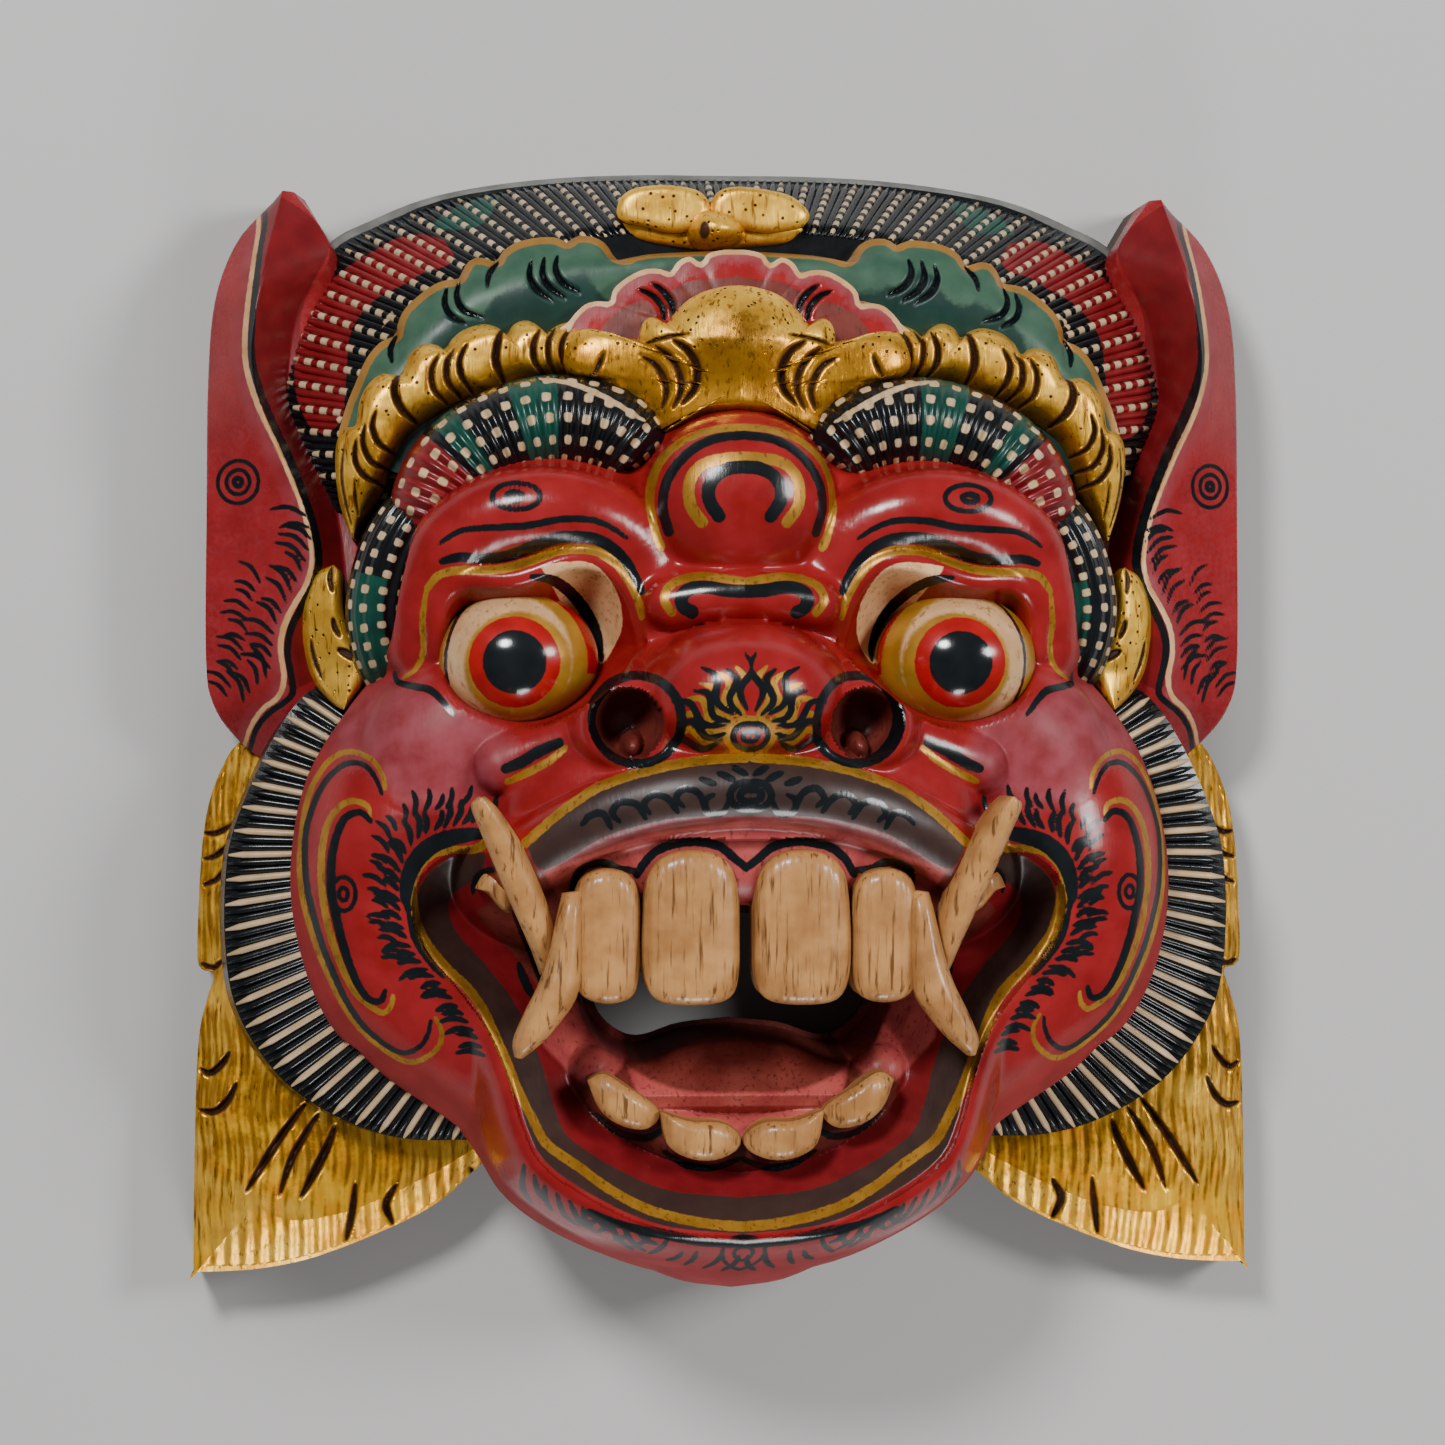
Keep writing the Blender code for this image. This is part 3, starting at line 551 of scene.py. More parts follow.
def band(spine, half_width, drop, side=1, relief=None):
    """Puts a grid on a rounded band along a spine, narrowed to round ends."""
    path = smooth_path(spine, 120) * (side, 1, 1)
    heading = np.gradient(path[:, :2], axis=0)
    heading /= np.linalg.norm(heading, axis=1)[:, None]
    steps = np.linspace(0, 1, len(path))

    def place(u, v):
        along, turn = (u + 1) / 2, v * math.pi / 2
        x, y, z = (np.interp(along, steps, path[:, axis]) for axis in range(3))
        tx, ty = (np.interp(along, steps, heading[:, axis]) for axis in range(2))
        end = np.sqrt(np.clip(1 - np.abs(u) ** 8, 0.02, 1))
        reach = half_width * end * np.sin(turn)
        x, y = x - ty * reach, y + tx * reach
        return x, y, z - drop * (1 - np.cos(turn) * end) + (relief(x, y, along, v) if relief else 0)

    return place


x, y, z = pebble((0, 0), (10, 10), 0, 5)(np.array([0, 1]), np.array([0, 1]))
print("a pebble 5 units high:", z.round(1)[0], "at its middle and", z.round(1)[1], "at its rim")

# %% [markdown]
# ## Shader maths
# A node tree can be written like a sum. One small class holds a socket, and plus, minus, times
# and divide add the Math nodes. Everything else comes from its one method, node, which sets a
# node's own settings first and then its sockets.

# %% A socket that can be added and multiplied
class Wire:
    """An output socket of a node tree; sums on it add Math nodes."""

    def __init__(self, tree, socket=None):
        self.tree, self.socket = tree, socket

    def node(self, kind, settings=None, values=None, output=0):
        """Adds a node: first its settings, then the values or links of its sockets."""
        made = self.tree.nodes.new(kind)
        for key, value in (settings or {}).items():
            setattr(made, key, value)
        for key, value in (values or {}).items():
            if isinstance(value, Wire):
                self.tree.links.new(value.socket, made.inputs[key])
            else:
                made.inputs[key].default_value = value
        return Wire(self.tree, made.outputs[output])

    def math(self, operation, first, second=0.0, clamp=False):
        settings = {"operation": operation, "use_clamp": clamp}
        return self.node("ShaderNodeMath", settings, {0: first, 1: second})

    def __add__(self, other):
        return self.math("ADD", self, other)

    def __sub__(self, other):
        return self.math("SUBTRACT", self, other)

    def __rsub__(self, other):
        return self.math("SUBTRACT", other, self)

    def __mul__(self, other):
        return self.math("MULTIPLY", self, other)

    __radd__, __rmul__ = __add__, __mul__

    def __truediv__(self, other):
        return self.math("DIVIDE", self, other)

    def __pow__(self, other):
        return self.math("POWER", self, other)

    def __mod__(self, other):
        return self.math("MODULO", self, other)

    def clamped(self):
        return self.math("ADD", self, 0.0, clamp=True)


# %% [markdown]
# ## A finish of many coats
# The mask was painted in coats: a ground colour, then bands, then gold, and black lines last. A
# finish is built the same way. It starts as a mottled ground, and each coat covers it where the
# field of that coat is above zero. Noise on the field gives the edge the wobble of a brush.

# %% Finish builder
VARNISH_ROUGHNESS, GLOSS, RELIEF_METRES = 0.12, 0.35, 0.0004
PORES, PORE_SIZE = 420.0, 0.21


def rgb(hexcode):
    """A colour as seen on screen, as the linear numbers that shaders use."""
    parts = [int(hexcode[i:i + 2], 16) / 255 for i in (0, 2, 4)]
    linear = [p / 12.92 if p <= 0.04045 else ((p + 0.055) / 1.055) ** 2.4 for p in parts]
    return (*linear, 1.0)


def palette(hexcodes):
    """The colours of one paint: two that lie in soft patches, and often a third for its specks."""
    return [rgb(hexcode) for hexcode in hexcodes.split()]


class Finish:
    """A material built coat by coat."""

    def __init__(self, name, ground, roughness, metallic=0.0, coat=0.0, mottle=90.0, streak=0.35):
        self.material = bpy.data.materials.new(name)
        self.material.use_nodes = True
        tree = self.material.node_tree
        self.shader = tree.nodes["Principled BSDF"]
        self.shader.inputs["Coat Roughness"].default_value = VARNISH_ROUGHNESS
        self.shader.inputs["Coat Weight"].default_value = coat
        self.shader.inputs["Specular IOR Level"].default_value = GLOSS
        self.wire = Wire(tree)
        self.place = self.wire.node("ShaderNodeTexCoord", output=3)
        self.wobble = self.noise(700, 2) - 0.5
        self.colour = self.mottled(ground, mottle, streak)
        self.roughness = self.wire.math("ADD", self.noise(300, 3) * 0.2, roughness - 0.1)
        self.metallic = self.wire.math("ADD", metallic, 0.0)
        self.relief = self.grain() * 0.5 + self.noise(130, 2) * 1.6
        self.coats = []

    def noise(self, scale, detail=2, stretch=None, roughness=0.5):
        """Soft noise over the piece, stretched along an axis where a factor is small."""
        place = self.place
        if stretch:
            multiply = {"operation": "MULTIPLY"}
            place = self.wire.node("ShaderNodeVectorMath", multiply, {0: place, 1: stretch})
        values = {"Vector": place, "Scale": scale, "Detail": detail, "Roughness": roughness}
        return self.wire.node("ShaderNodeTexNoise", None, values)

    def grain(self):
        """Fine grain of the wood, which shows through the paint."""
        return self.noise(900, 4, (1, 0.12, 0.4), 0.7)

    def blend(self, mask, first, second):
        """The first colour where the mask is zero, the second where it is one."""
        return self.wire.node("ShaderNodeMix", {"data_type": "RGBA"}, {0: mask, 6: first, 7: second}, 2)

    def between(self, mask, first, second):
        """The same for two numbers."""
        return self.wire.node("ShaderNodeMix", {"data_type": "FLOAT"}, {0: mask, 2: first, 3: second})

    def mottled(self, hexcodes, scale, streak=0.35):
        """Two colours in soft patches, with a third one in streaks."""
        colours = palette(hexcodes)
        patch = ((self.noise(scale, 4) - 0.5) * 3 + 0.5).clamped()
        colour = self.blend(patch, colours[0], colours[1])
        if len(colours) > 2:
            speck = ((self.noise(scale * 6, 3, (1, streak, 1), 0.6) - 0.56) * 9).clamped()
            colour = self.blend(speck, colour, colours[2])
        return colour

    def field(self, name):
        """The value of a name that each point of the piece holds."""
        return self.wire.node("ShaderNodeAttribute", {"attribute_name": name}, output=2)

    def mask(self, name, soft=0.25, wobble=0.5):
        """One inside the strokes of a field, zero outside."""
        return ((self.field(name) + self.wobble * wobble) / soft + 0.5).clamped()

    def add_coat(self, name, colours, roughness, metallic=0.0, soft=0.25, wobble=0.5, scale=150.0):
        """Covers the coats below where a field is above zero, over a soft edge in millimetres."""
        self.coats.append(name)
        mask = self.mask(name, soft, wobble)
        self.colour = self.blend(mask, self.colour, self.mottled(colours, scale))
        self.roughness = self.between(mask, self.roughness, roughness)
        self.metallic = self.between(mask, self.metallic, metallic)

    def dull(self, name, roughness, soft):
        """A rougher surface where a field is above zero, whatever the colour there."""
        self.coats.append(name)
        self.roughness = self.between(self.mask(name, soft), self.roughness, roughness)

    def add_beads(self, name, colours, pitch, radius):
        """Painted dots on ribs: the field is the way along a rib, below zero on ribs without dots."""
        along = self.field(name)
        self.coats.append(name)
        off_centre = self.wire.math("ABSOLUTE", along % pitch - pitch / 2)
        dot = ((radius - off_centre) * 4 + 0.5 + self.wobble).clamped() * (along * 4).clamped()
        self.colour = self.blend(dot, self.colour, self.mottled(colours, 150))

    def add_pits(self, name, colour):
        """Small dark pits where gold leaf broke over pores, only where the field is above zero."""
        cells = self.wire.node("ShaderNodeTexVoronoi", None, {"Vector": self.place, "Scale": PORES})
        self.coats.append(name)
        pit = ((PORE_SIZE - cells) * 12).clamped() * self.field(name).clamped()
        self.colour = self.blend(pit, self.colour, rgb(colour))
        self.relief = self.relief - pit * 1.5

    def done(self, bump=0.25):
        """Adds the worn sides of bare wood and connects the sockets."""
        side = ((self.field("wall") - 1.2 + self.wobble * 1.5) * 1.2).clamped()
        wood = self.mottled("4a3320 2b1d14 6b4c30", 60)
        self.colour = self.blend(side, self.colour, wood)
        self.roughness = self.between(side, self.roughness, 0.6)
        self.metallic = self.between(side, self.metallic, 0.0)
        bumped = self.wire.node("ShaderNodeBump", None,
                                {"Strength": bump, "Distance": RELIEF_METRES, "Height": self.relief})
        for socket, value in (("Base Color", self.colour), ("Roughness", self.roughness),
                              ("Metallic", self.metallic), ("Normal", bumped)):
            self.wire.tree.links.new(value.socket, self.shader.inputs[socket])

    def dress(self, piece):
        """Puts the finish on a piece; a coat that the piece has no strokes of lies far outside."""
        for name in sorted(set(self.coats) - set(piece.data.attributes.keys())):
            keep_values(piece.data, name, np.full(len(piece.data.vertices), -FAR))
        if not piece.data.materials:
            piece.data.materials.append(self.material)


print("mid grey on screen is", round(rgb("808080")[0], 3), "to a shader")

# %% [markdown]
# ## The finishes
# Six finishes dress the whole mask. Most colours are paints in soft light, so the lamps may make them
# brighter or darker; a few coats are painted light and shade instead, and each of these says so.
# Gold is only part metal in a material: leaf that is rubbed and varnished scatters light too, and
# pure metal would turn black wherever the room is dark. Numbers after the colours are the roughness
# and the share of metal, and soft is the width of a blurred edge.

# %% Red lacquer and the paints on it
GOLD_LEAF, BLACK_PAINT = "fcc64a d0962a 8c5814", "0c1013 14191c"
red_lacquer = Finish("red_lacquer", "7e1416 922022", 0.22, 0, 0.0)
# Rose: a painted sheen on the upper cheeks, paler pink where they face the light, and a pink tint on
# the ears and the red fan.
red_lacquer.add_coat("rose", "8c3a42 7a2026", 0.5, soft=5, wobble=4)
# Mouth: dark red inside the mouth and nostrils, and painted shade in the hollows of the red fan beside
# the crown.
red_lacquer.add_coat("mouth", "5c201a 6c2e26 4a1814", 0.38)
red_lacquer.add_coat("scarlet", "620f14 72161a", 0.3)
red_lacquer.add_coat("gum", "94383a a84c46 782828", 0.4, soft=1)
red_lacquer.add_coat("umber", "2e1e1b 382520", 0.4)
red_lacquer.add_coat("bare", "e8bc88 d0a070 b08050", 0.35)
red_lacquer.add_coat("gold", "b4842c 966a20 7c5218", 0.36, 0.5)
red_lacquer.add_coat("cream", "b88450 d0a478", 0.4)
red_lacquer.add_coat("ink", BLACK_PAINT, 0.2)
red_lacquer.dull("satin", 0.75, 6)
red_lacquer.done()
print("red lacquer has", len(red_lacquer.coats), "coats over its ground")

# %% Gilding
gilding = Finish("gilding", GOLD_LEAF, 0.36, 0.6, 0.0, 130, 0.1)
# Deep: deeper gold; in the streaks of the wings it is partly painted shade.
gilding.add_coat("deep", "c08820 a87018 7c5010", 0.32, 0.75, soft=4, wobble=3)
# Pale: bright streaks on the wings, partly rubbed gold and partly painted highlights.
gilding.add_coat("pale", "ffc42c ee9c14", 0.36, 0.55, soft=3, wobble=4)
gilding.add_pits("pits", "34190a")
# A painted dark reflection: the middle of the crown is painted brown, as gold that mirrors dark
# surroundings.
gilding.add_coat("glaze", "7c5414 a0701c 3c280c", 0.35, 0.7, soft=3, wobble=3, scale=400)
# Groove: dark brown in the cuts, partly clay showing through the rubbed gold and partly painted shade.
gilding.add_coat("groove", "2c1608 44240c", 0.5, 0.2, soft=0.6)
gilding.done(0.6)
print("gilding has", len(gilding.coats), "coats over its ground")

# %% Wood, hair, leaves and eyes
varnished_teeth = Finish("varnished_teeth", "b8854f 9a693a 64401e", 0.34, 0, 0.15, 130, 0.07)
varnished_teeth.add_coat("edge", "845630 6c4420", 0.35, soft=2.5)
varnished_teeth.done(0.35)

black_hair = Finish("black_hair", "080b0d 101417", 0.26, 0, 0.1)
black_hair.add_coat("red", "640c10 78181c", 0.35)
black_hair.add_coat("green", "08342c 0c4438", 0.3)
black_hair.add_coat("cream", "c8ac88 b0946c", 0.4)
# Grey: the rim along the top of the fan, partly grey paint and partly a painted sheen of grazing light.
black_hair.add_coat("grey", "5c5c58 747470", 0.6)
black_hair.add_beads("beads", "c0a888 a08c6c", 4.4, 1.15)
black_hair.done()

green_leaves = Finish("green_leaves", "0c2a24 12342c", 0.4, 0, 0.0)
green_leaves.add_coat("light", "3c5c48 2c4c3c", 0.42, soft=1.5, wobble=2)
green_leaves.add_coat("gold", "a07438 8c642c", 0.4, 0.3)
green_leaves.add_coat("ink", BLACK_PAINT, 0.25)
green_leaves.done()

painted_eye = Finish("painted_eye", "b88c60 cca478 9c7044", 0.3, 0, 0.3)
painted_eye.add_coat("gold", "b4842c 9c7024", 0.35, 0.3, soft=1.0, wobble=1.2)
painted_eye.add_coat("scarlet", "900c0e a41614", 0.25)
painted_eye.add_coat("ink", BLACK_PAINT, 0.15)
painted_eye.done(0.15)
finishes = (red_lacquer, gilding, varnished_teeth, black_hair, green_leaves, painted_eye)
print("made", len(finishes), "finishes with", sum(len(finish.coats) for finish in finishes), "coats")

# %% [markdown]
# ## The face
# The face is the largest piece. It is made in two halves, because each half can then have twice
# as many points and finer brush lines. The two meet in the middle, where the height runs level.

# %% Black strokes on the face
BROW_LINE = [(440, 545), (455, 535), (470, 530), (500, 528), (530, 526), (560, 520), (590, 520),
             (610, 527), (627, 538)]
BROW_BAND = [(443, 562), (460, 558), (485, 559), (510, 556), (535, 546), (560, 538), (590, 538),
             (610, 546), (625, 560), (636, 578), (642, 592)]
LIP_EDGE = [(500, 828), (478, 834), (455, 837), (435, 843), (420, 855), (410, 870), (407, 888),
            (410, 908)]
HAIR_ROOTS = [(492, 820), (470, 822), (448, 826), (428, 832), (412, 845), (404, 862), (401, 880),
              (401, 900), (405, 925), (414, 948), (428, 966), (445, 985), (462, 1008), (478, 1035),
              (490, 1062)]
HAIR_ROOTS_FAR = [(470, 806), (440, 808), (415, 815), (398, 830), (391, 850), (388, 875), (389, 900),
                  (394, 925), (402, 948), (414, 968)]
FACE_INK = [
    (1.9, 0.5, BROW_LINE), (3.0, 0.6, BROW_BAND),
    (1.4, 1, circle((517, 497), 24, 0.55)), (1.6, 1, circle((515, 497), 8, 0.5)),
    (2.0, 0.4, [(455, 715), (443, 700), (432, 690), (415, 686), (400, 682), (396, 672)]),
    (3.0, 0.3, [(530, 577), (552, 580), (570, 592), (586, 612), (597, 635), (602, 660)]),
    (2.5, 1, [(669, 532), (663, 510), (665, 487), (676, 466), (695, 448), (718, 438), (746, 435)]),
    (3.4, 1, [(719, 516), (710, 502), (709, 487), (717, 475), (731, 468), (746, 467)]),
    (3.4, 1, [(692, 612), (683, 606), (682, 595), (692, 588), (708, 587), (725, 590), (746, 591)]),
    (2.4, 1, circle((637, 719), 45, 0.98)),
    (3.0, 0.8, [(506, 768), (521, 762), (541, 750), (560, 742)]),
    (2.6, 0.6, LIP_EDGE),
    (1.8, 0.5, [(410, 908), (416, 935), (430, 958), (445, 975)]),
    (1.9, 0.5, [(384, 793), (378, 778), (368, 765), (352, 762), (338, 770), (325, 785), (316, 805),
                (309, 830), (308, 860), (311, 890), (317, 915), (326, 945), (338, 975), (350, 1000),
                (365, 1022), (385, 1040), (405, 1050), (422, 1043), (430, 1030), (432, 1018)]),
    (2.5, 0.5, [(373, 820), (365, 812), (355, 812), (345, 820), (338, 838), (334, 860), (334, 890),
                (339, 915), (345, 940), (353, 965), (362, 985), (372, 997), (383, 998), (387, 988)]),
    (1.2, 1, circle((346, 892), 12, 1.4)), (1.2, 1, circle((346, 892), 4.5, 1.4)),
    (4.6, 0.4, [(486, 832), (460, 835), (437, 842), (420, 856), (410, 876), (407, 900)]),
    (2.0, 0.4, [(512, 903), (523, 930), (533, 955), (542, 982)]),
    (2.4, 0.4, [(519, 962), (526, 980), (534, 996)]),
    (1.8, 0.5, [(474, 892), (476, 880), (484, 871), (500, 867)]),
    (2.2, 0.7, [(572, 890), (578, 872), (590, 864), (605, 862), (620, 868), (637, 870)]),
    (2.4, 0.8, [(637, 874), (646, 860), (660, 848), (680, 842), (700, 841), (720, 846), (735, 858),
                (748, 868)]),
    (2.4, 1, [(590, 1210), (620, 1222), (660, 1232), (700, 1240), (745, 1243)]),
    (1.1, 1, circle((746, 1252), 12, 0.6)), (1.1, 1, circle((746, 1252), 24, 0.7)),
]
FACE_INK += flicks(HAIR_ROOTS, 34, 25, 122, 1.7) + flicks(HAIR_ROOTS_FAR, 19, 22, 122, 1.5)
FACE_INK += flicks([(515, 1150), (550, 1185), (600, 1212), (650, 1230)], 10, 34, 30)
FACE_INK += flicks([(560, 1215), (620, 1240), (680, 1262), (740, 1272)], 9, 22, -50)
FACE_INK += [(2.2, 0.5, [(664, 1150), (686, 1163), (714, 1166), (740, 1157)]),
             (2.2, 0.5, [(596, 1112), (618, 1130), (645, 1136), (664, 1128)])]
LIP_SCROLL = [circle((747, 795), 17, 0.8), circle((747, 795), 7, 0.8),
              [(729, 800), (722, 812), (708, 812), (705, 800), (714, 794)],
              [(704, 806), (698, 792), (684, 788), (676, 798), (684, 806)],
              [(678, 812), (668, 798), (654, 794), (644, 803), (650, 813)],
              [(646, 818), (636, 803), (620, 802), (612, 812), (620, 821)],
              [(612, 828), (603, 813), (590, 815), (582, 824)],
              [(732, 766), (747, 774)], [(718, 772), (735, 780)], [(700, 778), (716, 784)]]
FACE_INK += [(1.9, 0.5, line) for line in LIP_SCROLL]
FLAME_ROOT = (748, 736)


def flame(angle, reach, sway):
    """A licking flame on the nose: four pixels outwards from its root, at an angle from straight up."""
    a = math.radians(angle)
    out, side_way = np.array([math.sin(a), -math.cos(a)]), np.array([math.cos(a), math.sin(a)])
    return [FLAME_ROOT + reach * r * out + sway * s * side_way
            for r, s in ((0.3, 0), (0.55, -1), (0.8, 0.6), (1, -0.4))]


BLACK_FLAMES = [flame(angle, 84 - 12 * (k % 2), 8) for k, angle in enumerate(range(-96, 1, 16))]
GOLD_FLAMES = [flame(angle, 72, 8) for angle in range(-88, 1, 16)]
FACE_INK += [(1.9, 0.15, line) for line in BLACK_FLAMES]
FACE_INK += [(1.5, 1, circle(FLAME_ROOT, 15, 0.85)), (1.2, 1, circle(FLAME_ROOT, 5))]

# %% Gold strokes on the face
GOLD_LIP = [(526, 842), (545, 825), (560, 812), (580, 798), (600, 786), (630, 775), (660, 767),
            (700, 760), (746, 757)]
LOWER_LINE = [(492, 838), (475, 848), (450, 849), (435, 852), (420, 866), (414, 885), (415, 905),
              (422, 930), (435, 950), (450, 968), (468, 985), (483, 1005), (497, 1035), (508, 1060),
              (520, 1090), (535, 1120), (548, 1142), (580, 1165), (610, 1187), (650, 1208), (700, 1221),
              (746, 1226)]
FACE_GOLD = [
    (2.5, 0.6, [(428, 590), (440, 576), (460, 571), (485, 571), (510, 568), (535, 560), (560, 551),
                (590, 550), (605, 556), (618, 566), (630, 583), (638, 600), (642, 617)]),
    (1.6, 0.5, [(428, 590), (424, 620), (425, 650), (418, 668), (405, 678)]),
    (2.1, 1, [(661, 547), (655, 530), (650, 505), (653, 478), (664, 457), (685, 440), (713, 430),
              (746, 427)]),
    (2.9, 1, [(702, 522), (691, 506), (689, 486), (697, 469), (714, 460), (746, 457)]),
    (2.2, 1, [(672, 612), (664, 600), (668, 588), (680, 580), (700, 576), (722, 578), (746, 582)]),
    (2.0, 0.7, [(508, 781), (530, 771), (550, 760), (566, 747)]),
    (2.3, 1, GOLD_LIP), (2.2, 1, LOWER_LINE),
    (1.8, 0.5, [(387, 788), (385, 775), (375, 760), (360, 752), (345, 752), (330, 762), (318, 780),
                (310, 800), (305, 830), (303, 860), (305, 890), (312, 920), (322, 950), (335, 980),
                (345, 1000), (358, 1020), (378, 1040), (400, 1055), (415, 1059), (430, 1053),
                (441, 1042), (443, 1028), (437, 1015)]),
    (2.0, 0.5, [(372, 815), (370, 805), (358, 800), (345, 803), (333, 817), (327, 835), (324, 860),
                (325, 890), (330, 920), (337, 945), (347, 970), (358, 990), (372, 1003), (385, 1010),
                (393, 1003), (395, 993)]),
    (1.5, 1, circle(FLAME_ROOT, 21, 0.85)),
]
FACE_GOLD += [(1.8, 0.2, line) for line in GOLD_FLAMES]

# %% Bands of colour on the face
UPPER_BAND = GOLD_LIP + [(770, 757), (770, 815), (746, 815), (720, 815), (680, 817), (650, 822),
                         (620, 830), (600, 838), (580, 850), (560, 862), (540, 868)]
SCARLET_BAND = [(540, 862), (580, 846), (620, 828), (680, 815), (746, 812), (770, 812), (770, 830),
                (746, 830), (680, 832), (640, 842), (600, 858), (565, 876)]
UPPER_GUM = [(545, 870), (600, 850), (640, 836), (700, 826), (770, 825), (770, 900), (700, 905),
             (580, 905), (556, 890)]
CHEEK_GUM = [(548, 985), (600, 1000), (625, 1040), (612, 1075), (585, 1082), (560, 1060), (538, 1030)]
TONGUE_FRONT = [(626, 1063), (655, 1080), (688, 1090), (742, 1092), (770, 1092), (770, 1130),
                (738, 1136), (700, 1126), (660, 1108), (640, 1095)]
# A painted sheen: the upper cheek, which faces the light, is painted a paler pink.
CHEEK_SHEEN = [(338, 730), (365, 702), (400, 690), (450, 712), (505, 742), (490, 780), (440, 800),
              (395, 785), (372, 755), (345, 758)]
TAN_CORNER = [(540, 566), (565, 562), (590, 563), (607, 576), (620, 600), (622, 628), (612, 650),
              (600, 664), (580, 640), (560, 600)]
UMBER_WIDTH, SCARLET_START, SCARLET_END, MOUTH_START = 8, 7, 15, 13.5
STEEP_SIDE, CHIN = 66, -134


def face_coats(x, y, z, *rest):
    """Every coat of paint on the face, and a painted sheen on the upper cheeks."""
    ax = np.abs(x)
    within = depth_inside(ax, y, MOUTH_LOOP)
    nostril = NOSTRIL_RADIUS + 0.3 - np.hypot(ax - NOSTRIL[0], y - NOSTRIL[1])
    lip_gap, _ = path_distance(ax, y, smooth_path(LOWER_LIP, 60))
    lower = np.where(within > 0, lip_gap, -lip_gap)
    outlines = (UPPER_BAND, SCARLET_BAND, UPPER_GUM, CHEEK_GUM, TONGUE_FRONT, CHEEK_SHEEN, TAN_CORNER)
    upper, scarlet, upper_gum, cheek_gum, tongue, rose, bare = (
        area(x, y, outline, face_lookup) for outline in outlines)
    return {
        "satin": np.where(within < 0, np.maximum(STEEP_SIDE - z, CHIN - y), -FAR),
        # The painted sheen on the upper cheeks.
        "rose": rose + 2,
        "mouth": np.maximum(np.minimum(within - 1, lower - MOUTH_START), nostril),
        "scarlet": np.maximum(np.minimum(lower - SCARLET_START, SCARLET_END - lower), scarlet),
        "gum": np.maximum(np.maximum(upper_gum, cheek_gum), tongue),
        "umber": np.maximum(np.minimum(lower, UMBER_WIDTH - lower), upper),
        "bare": bare,
        "gold": paint(x, y, FACE_GOLD, face_lookup),
        "ink": paint(x, y, FACE_INK, face_lookup),
    }


# %% Both halves of the face
THROAT_CENTRE, LEAST_WALL = (0, -65), 1.5
throat_rim = THROAT_CENTRE + (THROAT_LOOP - THROAT_CENTRE) * 0.96


def front_height(x, y):
    """The face's height, kept off the hollow behind it."""
    return np.maximum(face_height(x, y), back_height(x, y) + LEAST_WALL)


for side, word in SIDES:
    place = collar(throat_rim, FACE_LOOP, THROAT_CENTRE, front_height, side)
    red_lacquer.dress(shell("face_" + word, place, 104, 55, 4, fields=face_coats))

# %% [markdown]
# ## Ribs by Geometry Nodes
# The ruff and the fan of hair are cut into hundreds of ribs, side by side along a curved path.
# Copying one rib by hand would take a day. A node tree does it in one go: it spaces points along
# a guide path, lays a rounded rib across the path at each, stretched to the width there, and
# numbers the ribs, so that every third one can be painted cream.

